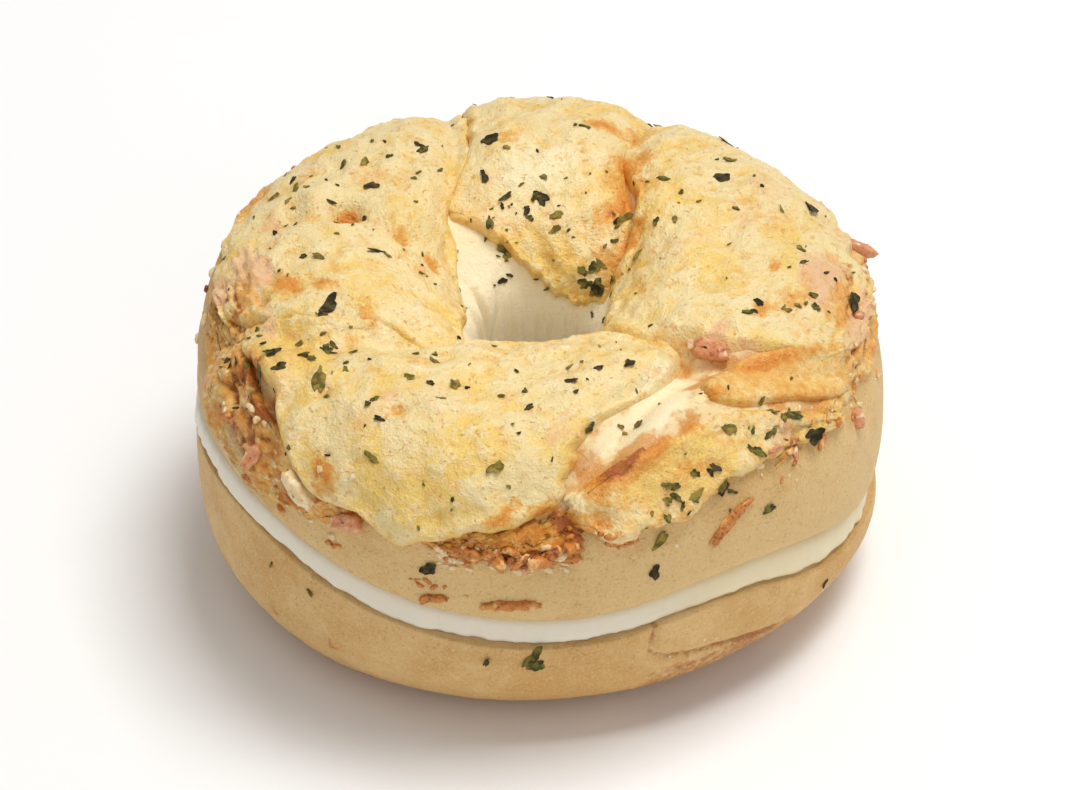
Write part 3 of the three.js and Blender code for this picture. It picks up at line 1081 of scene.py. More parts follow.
# ---- spots on the crown ---------------------------------------------------------------
def spots() -> tuple[Spot, ...]:
    """Lists what marks the crown.

    Returns:
        Every toasted, browned, pale, pink, yellow, crumbly and swollen place, by turn in degrees and t.
    """
    toast, brown, pale, pink, yellow = Mark.TOAST, Mark.BROWN, Mark.PALE, Mark.PINK, Mark.YELLOW
    crumbly, swell, heap = Mark.CRUMBLY, Mark.SWELL, Mark.HEAP
    return (
        # where the cheese lies thick, and the hollows under its edge
        Spot(heap, 205, 0.375, 12, 8, 0, 1.3), Spot(heap, 216, 0.365, 12, 8, 0, 1.6),
        Spot(heap, 227, 0.30, 11, 7, -50, 1.5), Spot(heap, 238, 0.235, 11, 7, -25, 1.2),
        Spot(heap, 250, 0.205, 14, 6), Spot(heap, 263, 0.25, 9, 5, 20, 0.7),
        Spot(heap, 250, 0.47, 20, 9, 0, 0.6), Spot(heap, 232, 0.40, 13, 8, 0, 0.6),
        Spot(heap, 292, 0.545, 20, 6, 10, 0.7), Spot(heap, 314, 0.56, 8, 5, 0, 0.7),
        Spot(heap, 289, 0.455, 28, 6, 38, -1.1), Spot(heap, 325, 0.50, 18, 5, 123, -0.7),
        Spot(pink, 288, 0.445, 26, 2.4, 38, 0.5), Spot(toast, 288, 0.437, 24, 2, 38, 0.55),
        Spot(pink, 326, 0.49, 14, 3, 123, 0.8), Spot(swell, 296, 0.462, 15, 5, 36, 1.3),
        Spot(heap, 287, 0.24, 12, 5, 0, 0.8), Spot(heap, 300, 0.29, 16, 5, 0, 0.5),
        Spot(heap, 100, 0.74, 14, 8, 0, 0.8), Spot(heap, 70, 0.76, 12, 6, 0, 0.6),
        Spot(heap, 20, 0.62, 16, 8, 0, 0.8), Spot(heap, 352, 0.46, 14, 8, 0, 0.7),
        Spot(heap, 150, 0.62, 14, 7, 0, 0.8), Spot(heap, 172, 0.50, 12, 8, 0, 0.6),
        Spot(swell, 209, 0.31, 9, 6, 0, -1.4), Spot(swell, 219, 0.285, 8, 5, -40, -1.2),
        Spot(swell, 238, 0.20, 7, 3, -30, -0.8),
        # the dough that shows in the hole, with a slit in it
        Spot(swell, 146, 0.80, 13, 11, 0, 1.5), Spot(swell, 147, 0.835, 9, 1.1, 92, -1.5),
        Spot(swell, 128, 0.83, 12, 1.6, 80, -0.5), Spot(swell, 160, 0.84, 10, 1.6, 95, -0.6),
        # rear left lobe
        Spot(swell, 160, 0.545, 5.5, 4, 0, -2.6), Spot(heap, 160, 0.545, 5, 3.4, 0, -1.6),
        Spot(toast, 160, 0.545, 7, 5), Spot(brown, 160, 0.55, 4, 3, 0, 0.6),
        Spot(swell, 160, 0.50, 8, 3.5), Spot(swell, 172, 0.37, 9, 7, 0, 1.4),
        Spot(toast, 192, 0.486, 9, 6, 20, 0.9), Spot(toast, 195, 0.536, 5.5, 4, 60, 0.8),
        Spot(toast, 164, 0.634, 7, 3, 40, 0.85), Spot(toast, 164, 0.70, 6, 2.5, 70, 0.75),
        Spot(yellow, 158, 0.74, 8, 3, 80), Spot(toast, 210, 0.56, 11, 3, -10, 0.6),
        Spot(toast, 150, 0.45, 10, 5, 0, 0.35), Spot(pink, 200, 0.43, 13, 3.5, -20, 0.8),
        Spot(pink, 216, 0.50, 9, 5, -20, 0.6), Spot(pink, 178, 0.42, 9, 6, 0, 0.6),
        Spot(pink, 185, 0.345, 12, 8, 0, 0.95), Spot(brown, 185, 0.33, 9, 5, 0, 0.6),
        Spot(crumbly, 188, 0.34, 16, 10, 0, 0.9), Spot(crumbly, 186, 0.41, 18, 10, 0, 0.75),
        Spot(pink, 186, 0.42, 17, 9, 0, 1.2), Spot(toast, 190, 0.40, 14, 7, 0, 0.65),
        Spot(brown, 190, 0.37, 11, 5, 0, 0.6), Spot(pink, 168, 0.44, 12, 6, 0, 0.7),
        # left side under the front cheese
        Spot(toast, 207, 0.33, 10, 8), Spot(brown, 209, 0.325, 8, 5, 0, 0.75),
        Spot(toast, 216, 0.29, 10, 8), Spot(brown, 218, 0.30, 8, 6, 0, 0.8),
        Spot(pink, 213, 0.22, 18, 12, -30, 0.9), Spot(brown, 214, 0.2, 14, 8, -30, 0.55),
        Spot(crumbly, 212, 0.23, 26, 16, -20), Spot(toast, 224, 0.17, 12, 6, -40, 0.8),
        Spot(toast, 235, 0.265, 7, 5, -45), Spot(swell, 231, 0.208, 7, 3, -50, 1.4),
        Spot(pale, 231, 0.212, 6.5, 2.6, -50), Spot(toast, 230, 0.15, 7, 3, -30, 0.8),
        Spot(crumbly, 228, 0.16, 12, 5, -30, 0.7), Spot(toast, 243, 0.19, 6, 3, 0, 0.6),
        # front lobe
        Spot(yellow, 256, 0.39, 16, 12), Spot(yellow, 252, 0.28, 22, 8, 0, 0.95),
        Spot(yellow, 214, 0.43, 17, 12, 0, 1.4), Spot(toast, 213, 0.44, 12, 8, 0, 0.35),
        Spot(yellow, 237, 0.48, 12, 7, 0, 0.5),
        Spot(toast, 242, 0.434, 4.5, 3.5, 0, 0.75), Spot(swell, 242, 0.436, 3, 2, 0, -1),
        Spot(pink, 240, 0.46, 9, 5, 60, 0.6), Spot(toast, 264, 0.255, 9, 2.6, 15, 0.8),
        Spot(toast, 266, 0.285, 5, 2.4, 40, 0.8), Spot(toast, 270, 0.262, 6, 3.2, 50, 0.7),
        Spot(swell, 248, 0.36, 26, 18, 0, 0.8), Spot(pink, 275, 0.44, 9, 7, 40, 0.7),
        # toasted ground below it
        Spot(toast, 257, 0.185, 11, 3, 4), Spot(toast, 265, 0.18, 11, 3.4),
        Spot(brown, 270, 0.175, 6, 4), Spot(brown, 262, 0.182, 9, 1.8, 0, 0.7),
        Spot(crumbly, 263, 0.18, 20, 5), Spot(toast, 252, 0.155, 3, 3, 0, 0.5),
        # the roll and the front right lobe
        Spot(pale, 296, 0.468, 22, 8, 36, 1.6), Spot(pale, 286, 0.445, 10, 6, 45, 1.2),
        Spot(pale, 309, 0.52, 8, 5, 30, 1.2), Spot(pink, 280, 0.385, 8, 5, 55, 0.7),
        Spot(toast, 281, 0.345, 9, 9, 0, 1.1), Spot(toast, 289, 0.375, 14, 7, 15, 1.1),
        Spot(brown, 286, 0.365, 10, 3, 25, 0.7), Spot(toast, 297, 0.32, 9, 4, 0, 0.5),
        Spot(toast, 300, 0.405, 8, 3.5, 10, 0.8), Spot(brown, 284, 0.375, 9, 1.6, 35, 0.5),
        Spot(yellow, 296, 0.33, 22, 12, 0, 1.3), Spot(toast, 308, 0.44, 7, 4, 0, 0.9),
        Spot(toast, 273, 0.265, 5, 9, 60, 1.1), Spot(brown, 274, 0.245, 2.6, 5, 60, 0.8),
        Spot(toast, 275, 0.235, 5, 6, 60), Spot(brown, 276, 0.225, 3.5, 5, 60, 0.7),
        Spot(swell, 276, 0.298, 6, 5, 0, 0.9), Spot(pale, 276, 0.30, 5, 4, 0, 0.8),
        Spot(swell, 280, 0.252, 4.5, 3.5, 0, -1.4), Spot(toast, 280, 0.25, 6, 4, 0, 0.9),
        Spot(swell, 284, 0.218, 5, 3.6), Spot(pale, 284, 0.22, 4.4, 3.2, 0, 0.9),
        # right side
        Spot(pale, 318, 0.396, 6, 3, 10), Spot(pink, 316, 0.32, 9, 8, 0, 0.8),
        Spot(crumbly, 317, 0.30, 11, 9, 0, 0.8), Spot(brown, 317, 0.275, 6, 4, 0, 0.6),
        Spot(toast, 328, 0.44, 22, 3.2, -30), Spot(toast, 326, 0.33, 22, 9, -35, 0.6),
        Spot(pink, 322, 0.53, 11, 4.5, 10), Spot(pink, 350, 0.33, 24, 11, 0, 0.95),
        Spot(brown, 350, 0.305, 22, 6, 0, 0.55), Spot(crumbly, 351, 0.33, 26, 12, 0, 0.9),
        Spot(toast, 354, 0.509, 3.6, 2.4, 0, 0.8), Spot(toast, 337, 0.505, 5, 3, 0, 0.85),
        Spot(yellow, 354, 0.57, 16, 10, 0, 0.8), Spot(pink, 17, 0.535, 13, 8, 0, 0.6),
        Spot(yellow, 5, 0.47, 16, 10, 0, 0.5), Spot(pink, 12, 0.33, 20, 9, 0, 0.7),
        Spot(crumbly, 12, 0.31, 22, 9, 0, 0.7), Spot(toast, 15, 0.29, 18, 5, 0, 0.7),
        Spot(crumbly, 356, 0.39, 24, 11, 0, 0.7), Spot(pink, 354, 0.42, 22, 12, 0, 1.1),
        Spot(toast, 349, 0.38, 18, 6, 0, 0.7), Spot(brown, 2, 0.36, 11, 4.5, 0, 0.6),
        Spot(toast, 345, 0.47, 12, 5, -20, 0.6), Spot(pink, 25, 0.47, 14, 8, 0, 0.7),
        # middle back lobe
        Spot(toast, 50, 0.64, 6, 15, -15), Spot(toast, 33, 0.69, 6, 10, 0, 0.95),
        Spot(toast, 58, 0.57, 8, 12, 0, 0.85), Spot(toast, 64, 0.50, 6, 9, 0, 0.55),
        Spot(toast, 36, 0.74, 8, 6, 0, 0.7), Spot(yellow, 100, 0.78, 24, 5),
        Spot(toast, 74, 0.516, 9, 4, 0, 0.8), Spot(pale, 92, 0.62, 16, 14, 0, 0.5),
        Spot(toast, 100, 0.55, 6, 3, 0, 0.5),
        # the far side
        Spot(toast, 40, 0.33, 20, 6, 5, 0.8), Spot(toast, 84, 0.31, 16, 5, -5, 0.8),
        Spot(toast, 125, 0.31, 18, 5, 0, 0.85), Spot(toast, 155, 0.32, 14, 6, 0, 0.8),
        Spot(brown, 60, 0.29, 9, 3, 0, 0.7), Spot(brown, 112, 0.28, 8, 3, 0, 0.7),
        Spot(crumbly, 60, 0.28, 14, 5, 0, 0.8), Spot(crumbly, 118, 0.29, 16, 6, 0, 0.8),
        Spot(pink, 135, 0.4, 14, 8, 0, 0.5), Spot(yellow, 70, 0.42, 16, 9, 0, 0.6),
    )


# ---- the sub-assemblies ---------------------------------------------------------------
class Bench:
    """What every sub-assembly needs: the form, the crown's skin, and how to hand a piece to the frame."""

    sight = 0.03  # how far a cast looks, in metres
    above = 9.0  # how far above the skin it starts from, in millimetres

    def __init__(self, form: BagelForm, skin: CrownSkin) -> None:
        """Keeps the form and skin.

        Args:
            form: the bread's driving dimensions.
            skin: the crown's outer surface.
        """
        self.form = form
        self.skin = skin
        self.tops: list[bpy.types.Object] = []

    def place(
        self, shell: Shell, name: str, finish: bpy.types.Material, slot: str, *nodes: str
    ) -> bpy.types.Object:
        """Makes a piece and hands it over.

        Args:
            shell: its mesh.
            name: its name.
            finish: its material.
            slot: the record's material slot; not used.
            nodes: the CAD nodes it stands for.

        Returns:
            The object.
        """
        made = shell.piece(name, self.form.unit, self.form.centre, finish)
        self.hand_over(made, slot, *nodes)
        return made

    def hand_over(self, made: bpy.types.Object, slot: str, *nodes: str) -> None:
        """Lets a piece ride with the bagel and stand for its nodes.

        Args:
            made: the piece.
            slot: the record's material slot; not used.
            nodes: the CAD nodes it stands for.
        """
        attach(made, "root")
        if nodes:
            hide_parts(*nodes)
        LOG.info("%s: %d faces", made.name, len(made.data.polygons))

    def land(self, turn: float, t: float) -> tuple[np.ndarray, np.ndarray]:
        """Finds the topmost bread or cheese at a place on the crown.

        Args:
            turn: in degrees.
            t: along the section.

        Returns:
            The place in millimetres, before centring, and the outward direction there.
        """
        base, _, _, out = self.skin.axes(math.radians(turn), t)
        return self.cast(base + self.above * out, -out, base, out)

    def bread(
        self, skin: np.ndarray, masks: dict[str, np.ndarray], steps: int, grain: Grain, rise: float
    ) -> Shell:
        """Closes a half of bread with its cut face.

        Args:
            skin: the crust's places, round the ring by along the section.
            masks: the crust's masks.
            steps: how many rows the cut face has.
            grain: noise for its crumb.
            rise: height of the crumb in millimetres, below zero on a face that looks down.

        Returns:
            The closed mesh, its cut face bare and pale.
        """
        share = np.linspace(0.0, 1.0, steps + 2)[1:-1]
        first, last = skin[:, :1], skin[:, -1:]
        face = last + (first - last) * share[None, :, None]
        face[..., 2] += rise * grain(face, 1.8, 3) * np.sin(share * math.pi)
        full = {}
        for name, mask in masks.items():
            bare = np.full(face.shape[:2], 1.0 if name == "pale" else 0.0)
            full[name] = np.concatenate([mask, bare], 1)
        shell = Shell()
        shell.grid(np.concatenate([skin, face], 1), full, (True, True))
        return shell

    def cast(
        self, start: np.ndarray, way: np.ndarray, miss: np.ndarray, out: np.ndarray
    ) -> tuple[np.ndarray, np.ndarray]:
        """Looks along a line for the first surface.

        Args:
            start: where to look from, in millimetres.
            way: which way to look.
            miss: the place to give back if nothing is there.
            out: the direction to give back then.

        Returns:
            The place and the outward direction there.
        """
        shift = np.array([*self.form.centre, 0.0])
        source = Vector((start + shift) * self.form.unit)
        best, found = math.inf, (miss, out)
        for top in self.tops:
            hit, spot, normal, _ = top.ray_cast(source, Vector(way), distance=self.sight)
            if hit and (spot - source).length < best:
                best = (spot - source).length
                found = (np.array(spot) / self.form.unit - shift, np.array(normal))
        return found


CRUMB_RISE = 0.3  # how far the crumb of a cut face stands up, in millimetres


@dataclass
class Heel:
    """The bottom half: a thick tan base with a flat underside and a cut top.

    The share t runs from the hole's rim down its wall to wall_t, round to the flat underside at flat_t,
    across it to curve_t, up the outer curve to side_t and then to the outer rim.
    """

    bench: Bench
    turns: int = 560
    skin_steps: int = 156
    face_steps: int = 18
    wall_t: float = 0.1
    flat_t: float = 0.3
    curve_t: float = 0.45
    side_t: float = 0.85
    base_height: float = 4.0  # the cut's slope and rise fade out down to this height
    millimetres_per_degree: float = 0.93  # along the side
    section_length: float = 95.0
    seam_width: float = 0.65
    seam: tuple = (
        (289.5, 1.0), (289, 0.925), (289, 0.84), (292.5, 0.815), (298, 0.805), (303, 0.795), (308, 0.785),
        (313, 0.775),
    )
    toasted: tuple = ((222, 0.77), (235, 0.775), (242, 0.72), (60, 0.8), (128, 0.78))

    def section(self, turn: np.ndarray, t: np.ndarray) -> tuple[np.ndarray, np.ndarray]:
        """Reads the section.

        Args:
            turn: in radians, as the outer curve is squarer on one side.
            t: along the section.

        Returns:
            Radius and height in millimetres.
        """
        form = self.bench.form
        square = 2.3 - 0.25 * (1 + np.cos(turn + math.radians(20)))
        rim = form.heel_rim_height
        inn = np.clip((t - self.wall_t) / (self.flat_t - self.wall_t), 0.0, 1.0) * math.pi / 2
        flat = (t - self.flat_t) / (self.curve_t - self.flat_t)
        out = np.clip((t - self.curve_t) / (self.side_t - self.curve_t), 0.0, 1.0) * math.pi / 2
        end = np.clip((t - self.side_t) / (1.0 - self.side_t), 0.0, 1.0)
        stretches = [t < stop for stop in (self.wall_t, self.flat_t, self.curve_t, self.side_t)]
        radii = [
            np.full(t.shape, form.hole_radius),
            mix(form.hole_radius, form.heel_flat_inner, 1 - power(np.cos(inn), 2.0)),
            mix(form.heel_flat_inner, form.heel_flat_outer, flat),
            mix(form.heel_flat_outer, form.heel_radius, power(np.sin(out), square)),
        ]
        heights = [
            mix(rim, form.heel_hole_height, t / self.wall_t),
            form.heel_hole_height * (1 - power(np.sin(inn), 2.0)),
            np.zeros(t.shape),
            form.heel_side_height * (1 - power(np.cos(out), square)),
        ]
        radius = np.select(stretches, radii, mix(form.heel_radius, form.rim_radius, end * end))
        return radius, np.select(stretches, heights, mix(form.heel_side_height, rim, end))

    def base(self, turn: np.ndarray, t: np.ndarray) -> np.ndarray:
        """Finds the plain skin of the heel.

        Args:
            turn: in radians.
            t: along the section.

        Returns:
            Places in millimetres, before centring.
        """
        form = self.bench.form
        radius, height = self.section(turn, t)
        x, y = form.on_plan(turn, radius)
        low = self.base_height
        high = np.clip((height - low) / (form.heel_rim_height - low), 0.0, 1.0)
        height = height + form.cut_slope * x * high + form.ride(turn, radius, -1.0) * high**2
        return np.stack([x, y, height], -1)

    def seam_depth(self, turn: np.ndarray, t: np.ndarray) -> np.ndarray:
        """Finds how near the crack is that runs down and along the right side.

        Args:
            turn: in radians.
            t: along the section.

        Returns:
            1 on the crack, fading to 0 beside it.
        """
        across, along = self.millimetres_per_degree, self.section_length
        line = [(degrees * across, share * along) for degrees, share in self.seam]
        away = stray(np.degrees(turn) * across, t * along, line)
        return np.exp(-((away / self.seam_width) ** 2))

    def build(self) -> bpy.types.Object:
        """Makes and dresses the heel.

        Returns:
            The piece.
        """
        samples = np.linspace(0.0, 1.0, 3001)
        radius, height = self.section(np.zeros(3001), samples)
        arc = np.concatenate([[0.0], np.cumsum(np.hypot(np.diff(radius), np.diff(height)))])
        t = np.interp(np.linspace(0.0, arc[-1], self.skin_steps), arc, samples)
        turn, t = np.meshgrid(full_turn(self.turns), t, indexing="ij")
        base = self.base(turn, t)
        out = facing(self.base, turn, t)
        grain = Grain(11)
        free = ease(t, 0.45, 0.56) + (1.0 - ease(t, 0.18, 0.3))
        ragged = 0.5 * grain(base, 2.2, 2)
        seam = self.seam_depth(turn + 0.012 * grain(base, 4.0), t + 0.006 * ragged)
        marks = np.zeros(t.shape)
        for at, up in self.toasted:
            marks = np.maximum(marks, bump(turn, at, 1.5) * np.exp(-(((t - up) / 0.018) ** 2)))
        relief = 0.45 * grain(base, 22.0) + 0.05 * grain(base, 2.0, 2) - 0.7 * seam + 0.5 * marks
        skin = base + out * (relief * np.clip(free, 0, 1))[..., None]
        low = 1.0 - ease(base[..., 2] + 1.2 * ragged, 2.5, 8.0)
        right = ease(-np.abs(np.degrees(turn) - 304.0), -20.0, -13.0)
        patch = right * (1.0 - ease(t, 0.765, 0.82)) * ease(t, 0.58, 0.68)
        masks = {
            "bake": 0.35 * low + 0.15,
            "brown": 0.55 * low * ease(t, 0.4, 0.6) + 0.75 * patch + 0.8 * seam + 0.7 * marks,
            "pale": np.zeros(t.shape),
            "toast": 0.25 * low + 0.5 * patch + 0.9 * marks,
        }
        shell = self.bench.bread(skin, masks, self.face_steps, grain, CRUMB_RISE)
        finish = CrustFinish("heel_crust_finish", tone(226, 188, 126), tone(210, 162, 94)).make()
        made = self.bench.place(shell, "heel_bread", finish, "heel_crust", "bottom_half")
        self.bench.tops.append(made)
        return made


@dataclass
class Crown:
    """The top half: a twisted, lobed crown of bread with a cut underside."""

    bench: Bench
    turns: int = 560
    skin_steps: int = 158
    face_steps: int = 16

    def build(self) -> bpy.types.Object:
        """Makes and dresses the crown.

        Returns:
            The piece.
        """
        skin = self.bench.skin
        t = skin.at_arc(np.linspace(0.0, skin.length, self.skin_steps))
        turn, t = np.meshgrid(full_turn(self.turns), t, indexing="ij")
        base = skin.base(turn, t)
        points = base + skin.normal(turn, t) * skin.relief(base, t)[..., None]
        shown = (Mark.TOAST, Mark.BROWN, Mark.PALE, Mark.PINK)
        masks = {mark.value: skin.marks(base, mark) for mark in shown}
        wall = ease(t, 0.6, 0.68)
        masks["pale"] = np.maximum(masks["pale"], wall)
        masks["wall"] = wall
        # painted light: how far down the hole's wall the lighter colour is painted
        masks["throat"] = 0.8 * ease(t, 0.7, 0.9)
        masks["cheesy"] = ease(t, 0.30, 0.37) * (1.0 - ease(t, 0.6, 0.66))
        # painted shade: high in the hollows of the crumbly wrinkles, where the crust is darkened
        masks["deep"] = np.clip(-1.3 * skin.grit(base, t), 0.0, 1.0)
        masks["bake"] = 0.3 * ease(t, 0.1, 0.3) - 0.15 + 0.25 * ease(-base[..., 0], 0.0, 45.0)
        shell = self.bench.bread(points, masks, self.face_steps, Grain(12), -CRUMB_RISE)
        finish = CrustFinish("crown_crust_finish", tone(223, 188, 127), tone(207, 163, 98)).make()
        made = self.bench.place(shell, "crown_bread", finish, "crown_crust", "top_half")
        self.bench.tops.append(made)
        return made


@dataclass
class Cream:
    """The white filling: a soft band whose outer edge swells and drips."""

    bench: Bench
    turns: int = 600
    steps: int = 48
    inner: float = 13.0
    set_back: float = 0.8
    pressed: float = 0.1  # how far it reaches into each half
    proud_at: float = 195.0
    proud_wide: float = 35.0
    proud_by: float = 0.7
    drips: tuple = (
        (211, 3.0, 1.2), (222, 3.0, 0.9), (235, 4.0, 1.0), (246, 6.0, 2.0), (268, 9.0, 0.6), (298, 5.0, 0.7),
        (318, 4.0, 0.7), (20, 5.0, 0.9), (75, 4.0, 1.1), (130, 6.0, 0.8), (165, 3.0, 1.0),
    )

    def build(self) -> bpy.types.Object:
        """Makes and dresses the filling.

        Returns:
            The piece.
        """
        form = self.bench.form
        turn, a = np.meshgrid(full_turn(self.turns), full_turn(self.steps), indexing="ij")
        grain = Grain(21)
        round_ring = np.stack([np.cos(turn), np.sin(turn), np.zeros(turn.shape)], -1) * form.rim_radius
        wave = 0.35 * grain(round_ring, 9.0, 3) + 0.3 * grain(round_ring + 30.0, 2.6, 2)
        drip = np.zeros(turn.shape)
        for where, wide, deep in self.drips:
            drip += deep * bump(turn, where, wide)
        cosine, sine = np.cos(a), np.sin(a)
        side = np.sign(cosine) * np.abs(cosine) ** 0.3
        under = ease(-sine, -0.2, 0.9)
        proud = self.proud_by * bump(turn, self.proud_at, self.proud_wide)
        edge = form.rim_radius * form.out_of_round(turn) - self.set_back + proud
        outer = edge + 0.7 * wave + (1.0 + 0.25 * drip) * under
        radius = mix(self.inner, outer, (1 + side) / 2)
        x, y = radius * np.cos(turn), radius * np.sin(turn)
        lift = form.ride(turn, radius, 0.0)
        half = form.cream / 2 + self.pressed + form.ride(turn, radius, 1.0) - lift
        rise = half * np.sign(sine) * np.abs(sine) ** 0.6
        sag = 0.3 + 0.6 * drip + np.maximum(wave, 0.0)
        hang = under * ease(radius, outer - 2.5, outer - 0.4) * sag
        z = form.cut_height + form.cut_slope * x + lift + rise - hang
        shell = Shell()
        # painted light and shade: share of the warmer right-side tint, rising with x
        shell.grid(np.stack([x, y, z], -1), {"warm": ease(x, -10.0, 45.0)}, (True, True))
        made = self.bench.place(shell, "cream_band", CreamFinish().make(), "cream", "cream_filling")
        self.bench.tops.append(made)
        return made


@dataclass(frozen=True)
class Patch:
    """One melted patch: sides in degrees at each t, outer and inner edges as t at each share across."""

    name: str
    node: str
    left: Stops
    right: Stops
    low: Stops
    high: Stops
    thick: float
    toast: float
    seed: int
    calm: float = 0.0
    torn: float = 0.9


PATCHES = (
    Patch(
        "front_melted_cheese", "cheese_front",
        ((0.34, 196), (0.45, 199), (0.53, 207), (0.58, 217), (0.61, 232), (0.7, 246)),
        ((0.22, 273), (0.3, 274.5), (0.36, 276), (0.42, 279), (0.47, 283.5), (0.5, 292), (0.53, 308),
         (0.57, 318), (0.62, 316), (0.7, 306)),
        ((0, 0.35), (0.18, 0.352), (0.28, 0.34), (0.34, 0.29), (0.42, 0.25), (0.5, 0.2), (0.58, 0.207),
         (0.68, 0.172), (0.75, 0.195), (0.84, 0.222), (0.92, 0.24), (1, 0.29)),
        ((0, 0.66), (0.3, 0.7), (1, 0.7)),
        1.9, 0.0, 31,
    ),
    Patch(
        "front_right_melted_cheese", "cheese_front_right",
        ((0.2, 277), (0.3, 275), (0.34, 276), (0.4, 280)),
        ((0.2, 333), (0.3, 331)),
        ((0, 0.23), (0.1, 0.2), (0.2, 0.225), (0.32, 0.222), (0.42, 0.258), (0.52, 0.272), (0.7, 0.275),
         (1, 0.235)),
        ((0, 0.3), (0.1, 0.36), (0.26, 0.392), (0.42, 0.405), (0.56, 0.41), (0.7, 0.38), (0.85, 0.33),
         (1, 0.272)),
        1.7, 0.26, 32,
    ),
    Patch(
        "small_melted_cheese", "cheese_small",
        ((0.36, 306), (0.5, 308)),
        ((0.22, 343), (0.34, 344)),
        ((0, 0.44), (0.15, 0.405), (0.4, 0.365), (0.7, 0.29), (1, 0.25)),
        ((0, 0.475), (0.15, 0.495), (0.4, 0.49), (0.7, 0.435), (1, 0.345)),
        1.6, 0.35, 33, 0.75, 0.2,
    ),
    Patch(
        "right_melted_cheese", "cheese_right",
        ((0.29, -10), (0.32, -18), (0.43, -29), (0.51, -37), (0.57, -42), (0.62, -46), (0.72, -47)),
        ((0.3, 66), (0.53, 65), (0.59, 57), (0.635, 46), (0.7, 35), (0.77, 30)),
        ((0, 0.295), (0.2, 0.28), (0.4, 0.3), (0.6, 0.29), (0.8, 0.265), (1, 0.3)),
        ((0, 0.72), (0.4, 0.77), (1, 0.78)),
        1.6, 0.05, 34,
    ),
    Patch(
        "back_melted_cheese", "cheese_back",
        ((0.3, 65), (0.53, 63.5), (0.6, 56), (0.65, 44), (0.72, 33), (0.8, 29)),
        ((0.3, 105), (0.52, 109), (0.59, 119), (0.64, 129), (0.83, 130)),
        ((0, 0.3), (0.5, 0.265), (1, 0.3)),
        ((0, 0.8), (0.25, 0.825), (0.6, 0.8), (0.8, 0.75), (0.93, 0.705), (1, 0.66)),
        1.8, 0.0, 35,
    ),
    Patch(
        "rear_left_melted_cheese", "cheese_rear_left",
        ((0.3, 104), (0.53, 108), (0.6, 118), (0.65, 130), (0.71, 137), (0.76, 151), (0.815, 168)),
        ((0.3, 191), (0.37, 194), (0.45, 202), (0.53, 210), (0.58, 220), (0.61, 234), (0.68, 248)),
        ((0, 0.3), (0.3, 0.27), (0.7, 0.305), (1, 0.31)),
        ((0, 0.8), (0.4, 0.78), (1, 0.68)),
        1.6, 0.05, 36,
    ),
    Patch(
        "browned_cheese_on_the_left", "",
        ((0.1, 184), (0.2, 186), (0.36, 188)),
        ((0.1, 240), (0.2, 241), (0.28, 232), (0.36, 214)),
        ((0, 0.22), (0.25, 0.14), (0.6, 0.115), (0.85, 0.14), (1, 0.17)),
        ((0, 0.36), (0.5, 0.35), (0.8, 0.28), (1, 0.2)),
        0.5, 0.62, 37, 0.0, 1.4,
    ),
    Patch(
        "browned_cheese_at_the_front", "",
        ((0.15, 251), (0.22, 252)),
        ((0.15, 275), (0.2, 277), (0.3, 279)),
        ((0, 0.185), (0.3, 0.165), (0.55, 0.168), (0.75, 0.155), (1, 0.18)),
        ((0, 0.22), (0.4, 0.235), (0.8, 0.27), (1, 0.29)),
        0.7, 0.85, 38, 0.0, 1.6,
    ),
    Patch(
        "browned_cheese_on_the_right", "",
        ((0.2, -48), (0.27, -46), (0.36, -30)),
        ((0.2, 50), (0.36, 50)),
        ((0, 0.25), (0.15, 0.26), (0.3, 0.235), (0.5, 0.245), (0.75, 0.23), (1, 0.27)),
        ((0, 0.30), (0.2, 0.31), (0.4, 0.335), (1, 0.34)),
        0.5, 0.55, 39, 0.0, 1.7,
    ),
    Patch(
        "browned_cheese_at_the_back", "",
        ((0.2, 46), (0.36, 46)),
        ((0.2, 187), (0.36, 187)),
        ((0, 0.27), (0.2, 0.235), (0.4, 0.26), (0.6, 0.225), (0.8, 0.255), (1, 0.27)),
        ((0, 0.34), (1, 0.34)),
        0.5, 0.5, 40, 0.0, 1.7,
    ),
)


